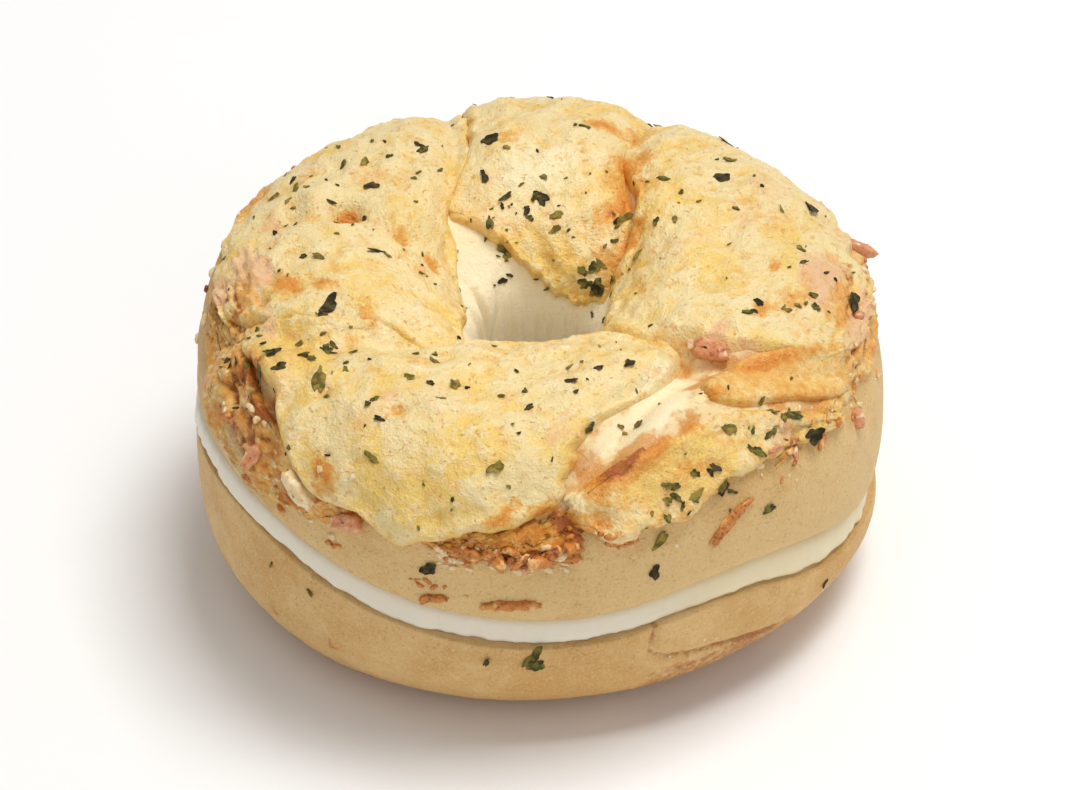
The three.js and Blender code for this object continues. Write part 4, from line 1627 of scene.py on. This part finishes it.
@dataclass
class MeltedCheese:
    """The topping: melted patches with rounded, ragged edges that hang over the crown."""

    bench: Bench
    pitch: float = 0.42
    bead: float = 1.3
    sunk: float = 0.5
    columns: tuple[int, int] = (40, 250)  # least and most across a patch
    rows: tuple[int, int] = (26, 165)

    def spread(self, patch: Patch, u: np.ndarray, v: np.ndarray) -> tuple[np.ndarray, np.ndarray]:
        """Where a share across and a share up fall on the crown.

        Args:
            patch: the patch.
            u: share across, 0 to 1.
            v: share up, 0 to 1.

        Returns:
            Turn in radians and t.
        """
        skin = self.bench.skin
        grain = Grain(patch.seed)
        ragged = np.stack([u * 40.0, v * 40.0, np.zeros(u.shape)], -1)
        torn = patch.torn

        def tear(along: np.ndarray, row: float, pitch: float) -> np.ndarray:
            """Noise along one edge of the patch, each edge on a row of its own."""
            return grain(np.stack([along, 0 * u + row, 0 * u], -1), pitch, 3)

        low = skin.arc(flow(patch.low, u)) + torn * tear(u * 60, 0, 4.0)
        high = skin.arc(flow(patch.high, u)) + torn * tear(u * 60, 9, 4.0)
        t = skin.at_arc(mix(low, high, v))
        sway = 0.4 + torn
        left = flow(patch.left, t) + sway * tear(v * 50, 20, 5.0)
        right = flow(patch.right, t) + sway * tear(v * 50, 30, 5.0)
        wobble = 0.004 * grain(ragged, 6.0)
        return np.radians(mix(left, right, u)) + wobble * u * (1 - u), t

    def build_patch(self, patch: Patch, finish: bpy.types.Material) -> bpy.types.Object:
        """Makes one patch.

        Args:
            patch: its outline and thickness.
            finish: its material.

        Returns:
            The object.
        """
        skin = self.bench.skin
        width, reach = self._extent(patch)
        across = int(np.clip(width / self.pitch, *self.columns))
        up = int(np.clip(reach / self.pitch, *self.rows))
        u, v = np.meshgrid(self._shares(across), self._shares(up), indexing="ij")
        turn, t = self.spread(patch, u, v)
        base = skin.base(turn, t)
        radius = np.hypot(base[..., 0], base[..., 1])
        wide = np.radians(np.abs(flow(patch.right, t) - flow(patch.left, t))) * radius
        tall = np.abs(skin.arc(flow(patch.high, u)) - skin.arc(flow(patch.low, u)))
        side = np.minimum(u, 1 - u) * wide
        end = np.minimum(v, 1 - v) * tall
        edge = side * end / np.maximum(np.hypot(side, end), 1e-6)
        grain = Grain(patch.seed + 100)
        bead = np.sqrt(np.clip(1 - (1 - np.clip(edge / self.bead, 0, 1)) ** 2, 0, 1))
        lip = 0.35 * np.exp(-(((edge - 1.6) / 1.1) ** 2))
        body = patch.thick * (0.75 + 0.25 * ease(edge, 2.0, 7.0)) + skin.marks(base, Mark.HEAP)
        pits = np.clip(grain(base + 70.0, 1.9) - 0.45, 0.0, 1.0) * ease(grain(base + 50.0, 8.0), -0.1, 0.4)
        fine = 0.30 * grain(base + 30.0, 2.6, 2) + 0.10 * grain(base, 1.0) - 1.1 * pits
        creased = 0.35 * (0.4 - np.abs(grain(base + 90.0, 8.0, 2)))
        lumps = (0.62 * grain(base, 7.0, 2) + creased + fine) * (1.0 - patch.calm)
        rise = -self.sunk + bead * (self.sunk + body + lip + lumps * ease(edge, 0.3, 2.0))
        out = skin.normal(turn, t)
        ground = base + out * skin.relief(base, t)[..., None]
        top = ground + out * rise[..., None]
        under = ground - out * (self.sunk + 0.4)
        rim = 1.0 - ease(edge + 0.5 * grain(base, 2.0, 2), 0.4, 2.6)
        shown = (Mark.TOAST, Mark.BROWN, Mark.PALE, Mark.PINK, Mark.YELLOW)
        masks = {mark.value: skin.marks(base, mark) for mark in shown}
        masks["toast"] = np.maximum(masks["toast"], np.maximum(rim * 0.15, patch.toast))
        masks["yellow"] = np.maximum(masks["yellow"], rim * 0.5)
        # painted shade: deep is high where the cheese lies low, to darken its hollows
        sunken = (fine + 0.5 * creased) * (1.0 - patch.calm) + 0.55 * skin.grit(base, t)
        masks["deep"] = np.clip(0.45 - 1.5 * sunken, 0.0, 1.2)
        shell = Shell()
        upper = shell.grid(top, masks, (False, False), (0.0, 0.0, 1.0, 0.94))
        lower = shell.grid(under, {}, (False, False), (0.0, 0.96, 1.0, 1.0), flip=True)
        ends = (
            (lower[:, 0], upper[:, 0]), (upper[:, -1], lower[:, -1]),
            (upper[0], lower[0]), (lower[-1], upper[-1]),
        )
        for k, (one, other) in enumerate(ends):
            shell.join(one, other, (0.95 + 0.001 * k, 0.951 + 0.001 * k))
        nodes = [patch.node] if patch.node else []
        made = self.bench.place(shell, patch.name, finish, "melted_cheese", *nodes)
        self.bench.tops.append(made)
        return made

    def _extent(self, patch: Patch) -> tuple[float, float]:
        """Measures a patch.

        Args:
            patch: the patch.

        Returns:
            Its largest width and height in millimetres.
        """
        u, v = np.meshgrid(np.linspace(0, 1, 40), np.linspace(0, 1, 40), indexing="ij")
        turn, t = self.spread(patch, u, v)
        place = self.bench.skin.base(turn, t)
        across = np.linalg.norm(np.diff(place, axis=0), axis=-1).sum(0)
        along = np.linalg.norm(np.diff(place, axis=1), axis=-1).sum(1)
        return float(across.max()), float(along.max())

    @staticmethod
    def _shares(count: int) -> np.ndarray:
        """Shares from 0 to 1, closer together at both ends."""
        even = np.linspace(0.0, 1.0, count)
        return even - 0.11 * np.sin(2 * math.pi * even)

    def build(self) -> None:
        """Makes every patch."""
        finish = CheeseFinish().make()
        glossy = CheeseFinish(
            name="glossy_cheese_finish", pale=tone(246, 206, 128), yellow=tone(240, 184, 92),
            curd=tone(252, 226, 164), gloss=0.16,
        ).make()
        for patch in PATCHES:
            self.build_patch(patch, glossy if patch.node == "cheese_small" else finish)


@dataclass
class Bits:
    """Loose bits on the bread: how a lump or a leaf is formed and set down."""

    bench: Bench

    @staticmethod
    def stand(out: np.ndarray, heading: float) -> np.ndarray:
        """Axes of a bit set down on a slope.

        Args:
            out: outward direction of the ground.
            heading: in degrees, from level along the ring towards uphill.

        Returns:
            Three rows: along, aside and out.
        """
        level = np.cross([0.0, 0.0, 1.0], out)
        if np.linalg.norm(level) < 1e-3:
            level = np.array([1.0, 0.0, 0.0])
        level /= np.linalg.norm(level)
        uphill = np.cross(out, level)
        way = math.radians(heading)
        along = math.cos(way) * level + math.sin(way) * uphill
        return np.stack([along, np.cross(out, along), out])

    def lump(
        self, shell: Shell, ground: tuple[np.ndarray, np.ndarray], heading: float, size: Sequence[float],
        seed: int, square: float = 0.7, rough: float = 0.2, sink: float = 0.3,
    ) -> None:
        """Adds a rough-sided lump.

        Args:
            shell: mesh to add to.
            ground: place and outward direction.
            heading: in degrees.
            size: length, width and height in millimetres.
            seed: for its roughness.
            square: 1 for round, towards 0 for square.
            rough: depth of its roughness against its size.
            sink: share of its height below ground.
        """
        place, out = ground
        around = int(np.clip(size[0] * 7, 14, 44))
        rings = max(around // 2, 8)
        pole = math.pi / 2 - 0.02
        a, b = np.meshgrid(full_turn(around), np.linspace(-pole, pole, rings), indexing="ij")
        cosine, sine = np.cos(b), np.sin(b)
        shape = np.stack([
            np.sign(np.cos(a)) * np.abs(np.cos(a)) ** square * cosine**square,
            np.sign(np.sin(a)) * np.abs(np.sin(a)) ** square * cosine**square,
            np.sign(sine) * np.abs(sine) ** square,
        ], -1)
        points = shape * (np.array(size) / 2)
        grain = Grain(seed)
        thin = min(size)
        swell = 1.0 + rough * grain(points, max(thin * 0.9, 0.5), 3, 0.6)
        points = points * swell[..., None]
        points[..., 2] += size[2] * (0.5 - sink)
        bend = np.random.default_rng(seed).normal() * 0.02
        points[..., 1] += bend * points[..., 0] ** 2
        shell.grid(place + points @ self.stand(out, heading), {}, (True, False))

    def leaf(
        self, shell: Shell, ground: tuple[np.ndarray, np.ndarray], heading: float, length: float,
        width: float, seed: int,
    ) -> None:
        """Adds one thin, torn, curled leaf.

        Args:
            shell: mesh to add to.
            ground: place and outward direction.
            heading: in degrees.
            length: in millimetres.
            width: in millimetres.
            seed: for its tears and curl.
        """
        place, out = ground
        rng = np.random.default_rng(seed)
        around = 22 if length > 1.2 else 12
        shares = np.array([0.02, 0.35, 0.68, 0.9, 1.0, 1.0, 0.9, 0.68, 0.35, 0.02])
        side = np.array([1, 1, 1, 1, 0.6, -0.6, -1, -1, -1, -1]) * 0.07
        a = full_turn(around)
        outline = np.ones(around)
        for k, deep in ((2, 0.12), (3, 0.16), (5, 0.12), (7, 0.08)):
            outline += deep * np.cos(k * a + rng.uniform(0, 6.3)) * rng.uniform(0.5, 1.3)
        a, share = np.meshgrid(a, shares, indexing="ij")
        x = length / 2 * share * outline[:, None] * np.cos(a)
        y = width / 2 * share * outline[:, None] * np.sin(a)
        curl, roll, tip = rng.uniform(-0.10, 0.22), rng.uniform(-0.3, 0.5), rng.uniform(-0.12, 0.2)
        rise = curl * x**2 / max(length, 0.8) + roll * y**2 / max(width, 0.8) + tip * x
        rise += 0.10 * Grain(seed)(np.stack([x, y, 0 * x], -1), 0.9)
        points = np.stack([x, y, rise + side[None, :] + 0.10 + 0.5 * abs(tip)], -1)
        shell.grid(place + points @ self.stand(out, heading), {}, (True, False))


# Lumps are given as name, CAD node, turn in degrees, t, heading in degrees, and three sizes in millimetres.
HAM = (
    ("ham_beside_the_hole", "ham_right_of_hole", 321, 0.535, 8, (7.6, 3.0, 2.0)),
    ("ham_at_the_front_right", "ham_front_right", 337, 0.21, 65, (3.2, 2.2, 1.8)),
    ("ham_at_the_front_left", "ham_front_left", 239.5, 0.18, 12, (4.4, 2.6, 2.8)),
    ("ham_on_the_left", "ham_left", 219, 0.19, 60, (4.0, 2.2, 1.6)),
    ("ham_on_the_right_edge", "ham_right_edge", 12, 0.31, 70, (4.6, 2.8, 1.8)),
    ("pale_shred_on_the_left", "pale_shred_left", 231, 0.205, -48, (6.4, 2.6, 2.2)),
)
SHREDS = (
    ("toasted_shred_at_the_front", "toasted_shred_front", 266, 0.07, 3, (7.6, 1.8, 1.3)),
    ("toasted_shred_at_the_front_left", "toasted_shred_front_left", 253.5, 0.05, 20, (5.0, 1.5, 1.1)),
    ("toasted_shred_on_the_right", "toasted_shred_right", 302, 0.185, 38, (8.2, 1.9, 1.0)),
    ("toasted_crumb_at_the_front", "toasted_crumb_front", 270.5, 0.172, 0, (4.2, 2.4, 1.8)),
    ("toasted_crumb_at_the_front_left", "toasted_crumb_left", 259, 0.183, 4, (4.6, 1.8, 1.6)),
)


@dataclass(frozen=True)
class Strewing:
    """A stretch strewn with crumbs: turns in degrees, t, widths in millimetres, and length against width."""

    seed: int
    count: int
    turns: tuple[float, float]
    ts: tuple[float, float]
    sizes: tuple[float, float]
    long: float


TOASTED_CRUMBS = (
    Strewing(60, 34, (253.0, 276.0), (0.158, 0.205), (0.5, 2.2), 2.2),
    Strewing(61, 9, (249.0, 262.0), (0.03, 0.12), (0.5, 1.3), 2.0),
    Strewing(62, 12, (274.0, 286.0), (0.19, 0.24), (0.7, 1.8), 1.6),
    Strewing(63, 16, (207.0, 243.0), (0.10, 0.22), (0.6, 1.8), 2.0),
    Strewing(64, 12, (308.0, 345.0), (0.22, 0.3), (0.5, 1.5), 2.0),
    Strewing(65, 30, (20.0, 170.0), (0.14, 0.27), (0.5, 1.8), 2.4),
)
HAM_CRUMBS = (
    Strewing(70, 4, (202.0, 226.0), (0.17, 0.33), (0.8, 1.6), 2.2),
    Strewing(71, 3, (309.0, 324.0), (0.255, 0.33), (0.9, 1.6), 2.2),
    Strewing(72, 5, (340.0, 380.0), (0.26, 0.34), (0.8, 1.7), 1.6),
    Strewing(73, 8, (30.0, 160.0), (0.22, 0.32), (1.0, 2.4), 1.8),
)
PALE_CRUMBS = (
    Strewing(80, 44, (252.0, 275.0), (0.145, 0.20), (0.4, 1.4), 1.8),
    Strewing(81, 34, (196.0, 240.0), (0.12, 0.3), (0.5, 1.3), 1.6),
    Strewing(82, 34, (335.0, 390.0), (0.2, 0.34), (0.5, 1.2), 1.6),
    Strewing(83, 60, (40.0, 195.0), (0.16, 0.33), (0.5, 1.4), 1.8),
    Strewing(84, 12, (306.0, 330.0), (0.24, 0.34), (0.5, 1.2), 1.5),
)
BURNT_CRUMBS = (
    Strewing(90, 4, (266.0, 271.5), (0.166, 0.188), (1.0, 1.8), 1.6),
    Strewing(91, 6, (60.0, 200.0), (0.2, 0.3), (0.7, 1.5), 1.6),
)


@dataclass
class Toppings(Bits):
    """Ham, toasted shreds and crumbs."""

    def strew(self, shell: Shell, strewing: Strewing) -> None:
        """Sows small lumps.

        Args:
            shell: mesh to add to.
            strewing: where they lie and how large they are.
        """
        rng = np.random.default_rng(strewing.seed)
        for k in range(strewing.count):
            ground = self.bench.land(rng.uniform(*strewing.turns), rng.uniform(*strewing.ts))
            size = mix(*strewing.sizes, rng.uniform() ** 2)
            limits = ((1.0, strewing.long), (0.7, 1.0), (0.5, 0.8))
            shape = [size * rng.uniform(low, high) for low, high in limits]
            heading = rng.uniform(-50, 50)
            seed = strewing.seed * 100 + k
            self.lump(shell, ground, heading, shape, seed, rng.uniform(0.6, 0.95), 0.42, 0.45)

    def build(self) -> None:
        """Makes the ham, the shreds and the crumbs."""
        bench = self.bench
        ham = LumpFinish(
            "ham_finish", tone(218, 148, 102), tone(240, 204, 160), tone(180, 98, 54), 0.28
        ).make()
        pale = LumpFinish(
            "pale_shred_finish", tone(238, 210, 160), tone(246, 228, 190), tone(222, 160, 86), 0.5
        ).make()
        toast = LumpFinish(
            "toasted_shred_finish", tone(206, 128, 52), tone(240, 196, 124), tone(146, 70, 28), 0.42
        ).make()
        dark = LumpFinish(
            "burnt_crumb_finish", tone(132, 64, 34), tone(190, 110, 54), tone(84, 40, 24), 0.4
        ).make()
        for k, (name, node, turn, t, heading, size) in enumerate(HAM):
            shell = Shell()
            self.lump(shell, bench.land(turn, t), heading, size, 500 + k, 0.6, 0.26)
            bench.place(shell, name, pale if "pale" in name else ham, "ham", node)
        for k, (name, node, turn, t, heading, size) in enumerate(SHREDS):
            shell = Shell()
            self.lump(shell, bench.land(turn, t), heading, size, 540 + k, 0.8, 0.34, 0.4)
            bench.place(shell, name, toast, "toasted_cheese", node)
        for name, strewings, finish, slot in (
            ("toasted_crumbs", TOASTED_CRUMBS, toast, "toasted_cheese"),
            ("ham_crumbs", HAM_CRUMBS, ham, "ham"),
            ("pale_crumbs", PALE_CRUMBS, pale, "melted_cheese"),
            ("burnt_crumbs", BURNT_CRUMBS, dark, "toasted_cheese"),
        ):
            shell = Shell()
            for strewing in strewings:
                self.strew(shell, strewing)
            bench.place(shell, name, finish, slot)


class Leaf(Enum):
    """Tone of a dried leaf."""

    GREEN = "green"
    OLIVE = "olive"
    BLACK = "black"


@dataclass(frozen=True)
class Sowing:
    """A stretch of crown sown with flakes: how many, which turns and t, and how long in millimetres."""

    count: int
    turns: tuple[float, float]
    ts: tuple[float, float]
    lengths: tuple[float, float]


GREEN, OLIVE, BLACK = Leaf.GREEN, Leaf.OLIVE, Leaf.BLACK
# Flakes are given as turn in degrees, t, length and width in millimetres, heading in degrees, and tone.
NAMED_FLAKES = (
    (203, 0.53, 3.6, 2.2, 20, BLACK), (184, 0.535, 2.4, 1.4, -20, OLIVE), (224, 0.42, 4.4, 2.0, -80, OLIVE),
    (263, 0.36, 3.2, 1.5, 40, OLIVE), (250, 0.52, 1.8, 1.5, 60, OLIVE), (242, 0.33, 2.6, 1.0, -30, OLIVE),
    (104, 0.55, 3.2, 2.0, 50, BLACK), (88, 0.67, 3.4, 1.3, -20, BLACK), (78, 0.70, 2.4, 1.3, 30, OLIVE),
    (20, 0.40, 4.4, 2.4, -15, BLACK), (36, 0.78, 3.4, 2.0, 80, GREEN), (353, 0.36, 3.6, 2.8, 20, BLACK),
    (34, 0.52, 3.0, 1.7, 0, BLACK), (344, 0.43, 1.8, 1.2, 0, GREEN), (139, 0.51, 2.2, 1.2, 20, OLIVE),
    (155, 0.45, 2.6, 1.2, 10, OLIVE), (289, 0.13, 2.9, 1.4, 80, BLACK), (290, 0.19, 3.2, 1.5, 50, OLIVE),
    (253, 0.135, 3.0, 1.9, 30, BLACK), (310, 0.18, 2.2, 1.4, 20, GREEN), (322, 0.275, 3.2, 2.6, 20, BLACK),
)
SOWN_FLAKES = (
    Sowing(14, (290, 304), (0.23, 0.31), (1.4, 2.9)),
    Sowing(10, (306, 322), (0.30, 0.40), (1.5, 3.0)),
    Sowing(20, (205, 228), (0.38, 0.52), (0.9, 2.6)),
    Sowing(16, (232, 268), (0.28, 0.58), (0.9, 2.2)),
    Sowing(26, (72, 124), (0.52, 0.82), (1.0, 2.6)),
    Sowing(22, (15, 52), (0.42, 0.84), (1.0, 2.5)),
    Sowing(12, (332, 364), (0.40, 0.52), (1.0, 2.2)),
    Sowing(20, (126, 184), (0.42, 0.62), (1.0, 2.6)),
    Sowing(10, (198, 214), (0.25, 0.40), (1.2, 2.6)),
    Sowing(8, (268, 296), (0.44, 0.60), (1.0, 2.4)),
)
HEEL_FLAKES = (
    (269.5, 0.94, 4.2, 1.6, 50, GREEN), (270, 0.865, 2.9, 1.6, 20, GREEN),
    (262, 0.875, 2.0, 0.7, 70, BLACK), (222, 0.87, 1.4, 0.5, 70, OLIVE), (231, 0.895, 1.5, 0.7, -50, OLIVE),
    (326, 0.84, 1.9, 0.7, 20, BLACK), (140, 0.9, 2.2, 1.2, 30, GREEN), (60, 0.88, 2.4, 1.1, -20, OLIVE),
    (25, 0.93, 1.8, 1.0, 40, BLACK),
)


@dataclass
class Herbs(Bits):
    """Dried leaf flakes over the whole bagel."""

    heel: Heel
    loose: int = 150  # flakes sown over the whole crown
    stretch_seed: int = 76
    loose_seed: int = 77

    def build(self) -> None:
        """Makes the separate flakes, then the rest by tone."""
        bench = self.bench
        tones = {
            Leaf.GREEN: (tone(122, 114, 54), tone(66, 62, 30), tone(150, 140, 84)),
            Leaf.OLIVE: (tone(158, 136, 64), tone(102, 90, 40), tone(186, 166, 100)),
            Leaf.BLACK: (tone(86, 74, 46), tone(46, 41, 27), tone(122, 108, 74)),
        }
        finishes = {leaf: HerbFinish(f"{leaf.value}_leaf_finish", *tones[leaf]).make() for leaf in Leaf}
        for k, (turn, t, length, width, heading, leaf) in enumerate(NAMED_FLAKES, 1):
            shell = Shell()
            self.leaf(shell, bench.land(turn, t), heading, length, width, 700 + k)
            bench.place(shell, f"leaf_flake_{k:02d}", finishes[leaf], "herb", f"herb_flake_{k:02d}")
        shells = {leaf: Shell() for leaf in Leaf}
        rng = np.random.default_rng(self.stretch_seed)
        for sowing in SOWN_FLAKES:
            for _ in range(sowing.count):
                ground = bench.land(rng.uniform(*sowing.turns), rng.uniform(*sowing.ts))
                length = mix(*sowing.lengths, rng.uniform() ** 1.5)
                leaf = list(Leaf)[rng.choice(3, p=(0.3, 0.35, 0.35))]
                width = length * rng.uniform(0.35, 0.75)
                self.leaf(shells[leaf], ground, rng.uniform(-90, 90), length, width, int(rng.integers(9999)))
        for k, (turn, t, length, width, heading, leaf) in enumerate(HEEL_FLAKES):
            place = self.heel.base(np.array(math.radians(turn)), np.array(t))
            out = np.array([math.cos(math.radians(turn)), math.sin(math.radians(turn)), -0.1])
            out /= np.linalg.norm(out)
            ground = bench.cast(place + 6.0 * out, -out, place, out)
            self.leaf(shells[leaf], ground, heading, length, width, 840 + k)
        rng = np.random.default_rng(self.loose_seed)
        for k in range(self.loose):
            turn, t = rng.uniform(0, 360), rng.uniform(0.2, 0.8)
            leaf = list(Leaf)[rng.choice(3, p=(0.35, 0.45, 0.2))]
            at_the_back = 20 < turn < 170 and t < 0.45
            length = mix(0.5, 2.6 if at_the_back else 1.1, rng.uniform() ** 2)
            heading, width = rng.uniform(-90, 90), length * rng.uniform(0.3, 0.8)
            self.leaf(shells[leaf], bench.land(turn, t), heading, length, width, 900 + k)
        for leaf, shell in shells.items():
            bench.place(shell, f"{leaf.value}_leaf_flakes", finishes[leaf], "herb")


# ---- light and view -------------------------------------------------------------------
@dataclass(frozen=True)
class Studio:
    """A pale floor, soft light from above and a long-lens camera."""

    elevation: float = 36.5
    distance: float = 0.6
    aim: tuple[float, float, float] = (0.0004, 0.0, 0.028)
    lens: float = 124.4
    floor_half: float = 2.5
    spot_place: tuple[float, float, float] = (0.0, -0.36, 0.66)
    spot_aim: tuple[float, float, float] = (0.002, 0.005, 0.030)
    spot_watts: float = 9.5
    spot_degrees: float = 3.0
    spot_radius: float = 0.03
    air_strength: float = 0.42

    def floor(self) -> None:
        """Lays the floor."""
        mesh = bpy.data.meshes.new("pale_floor")
        h = self.floor_half
        mesh.from_pydata([(-h, -h, 0), (h, -h, 0), (h, h, 0), (-h, h, 0)], [], [(0, 1, 2, 3)])
        mesh.materials.append(FloorFinish().make())
        made = bpy.data.objects.new("pale_floor", mesh)
        bpy.context.scene.collection.objects.link(made)

    def lamp(
        self, name: str, place: tuple[float, float, float], size: float, watts: float,
        tint: tuple[float, float, float],
    ) -> None:
        """Hangs one square soft lamp aimed at the bagel.

        Args:
            name: the lamp's name.
            place: where it hangs, in metres.
            size: its side in metres.
            watts: how strong it is.
            tint: its colour.
        """
        data = bpy.data.lights.new(name, "AREA")
        data.shape = "SQUARE"
        data.size = size
        data.energy = watts
        data.color = tint
        made = bpy.data.objects.new(name, data)
        made.location = place
        made.rotation_euler = (Vector(self.aim) - Vector(place)).to_track_quat("-Z", "Y").to_euler()
        bpy.context.scene.collection.objects.link(made)

    def hole_spot(self) -> None:
        """Hangs a narrow soft spot that lights the inside of the hole."""
        data = bpy.data.lights.new("hole_spot", "SPOT")
        data.energy = self.spot_watts
        data.spot_size = math.radians(self.spot_degrees)
        data.spot_blend = 1.0
        data.shadow_soft_size = self.spot_radius
        made = bpy.data.objects.new("hole_spot", data)
        made.location = self.spot_place
        way = Vector(self.spot_aim) - Vector(self.spot_place)
        made.rotation_euler = way.to_track_quat("-Z", "Y").to_euler()
        bpy.context.scene.collection.objects.link(made)

    def light(self) -> None:
        """Sets the room's light and the lamps."""
        world = bpy.data.worlds.new("studio_air")
        world.use_nodes = True
        air = world.node_tree.nodes["Background"]
        air.inputs["Color"].default_value = (1.0, 1.0, 1.0, 1.0)
        air.inputs["Strength"].default_value = self.air_strength
        bpy.context.scene.world = world
        self.lamp("overhead_softbox", (0.30, 0.10, 1.2), 0.55, 10.4, (1.0, 0.99, 0.97))
        self.lamp("front_fill", (0.5, -1.1, 0.8), 1.2, 2.0, (1.0, 1.0, 1.0))
        self.hole_spot()

    def camera(self) -> None:
        """Places the camera in front, looking down."""
        data = bpy.data.cameras.new("front_camera")
        data.lens = self.lens
        data.sensor_width = 36.0
        data.clip_start = 0.01
        data.clip_end = 20.0
        made = bpy.data.objects.new("front_camera", data)
        rise = math.radians(self.elevation)
        away = Vector((0.0, -math.cos(rise), math.sin(rise))) * self.distance
        made.location = Vector(self.aim) + away
        made.rotation_euler = (-away).to_track_quat("-Z", "Y").to_euler()
        bpy.context.scene.collection.objects.link(made)
        bpy.context.scene.camera = made

    def build(self) -> None:
        """Sets everything up."""
        self.floor()
        self.light()
        self.camera()
        bpy.context.scene.view_settings.view_transform = "Standard"


def main() -> None:
    """Builds the looks in order and reports each piece."""
    logging.basicConfig(level=logging.INFO, format="%(message)s")
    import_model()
    form = BagelForm.from_frame()
    bench = Bench(form, CrownSkin(form, spots()))
    heel = Heel(bench)
    heel.build()
    Cream(bench).build()
    Crown(bench).build()
    MeltedCheese(bench).build()
    bpy.context.view_layer.update()
    Toppings(bench).build()
    Herbs(bench, heel).build()
    Studio().build()
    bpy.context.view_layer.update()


if __name__ == "__main__":
    main()
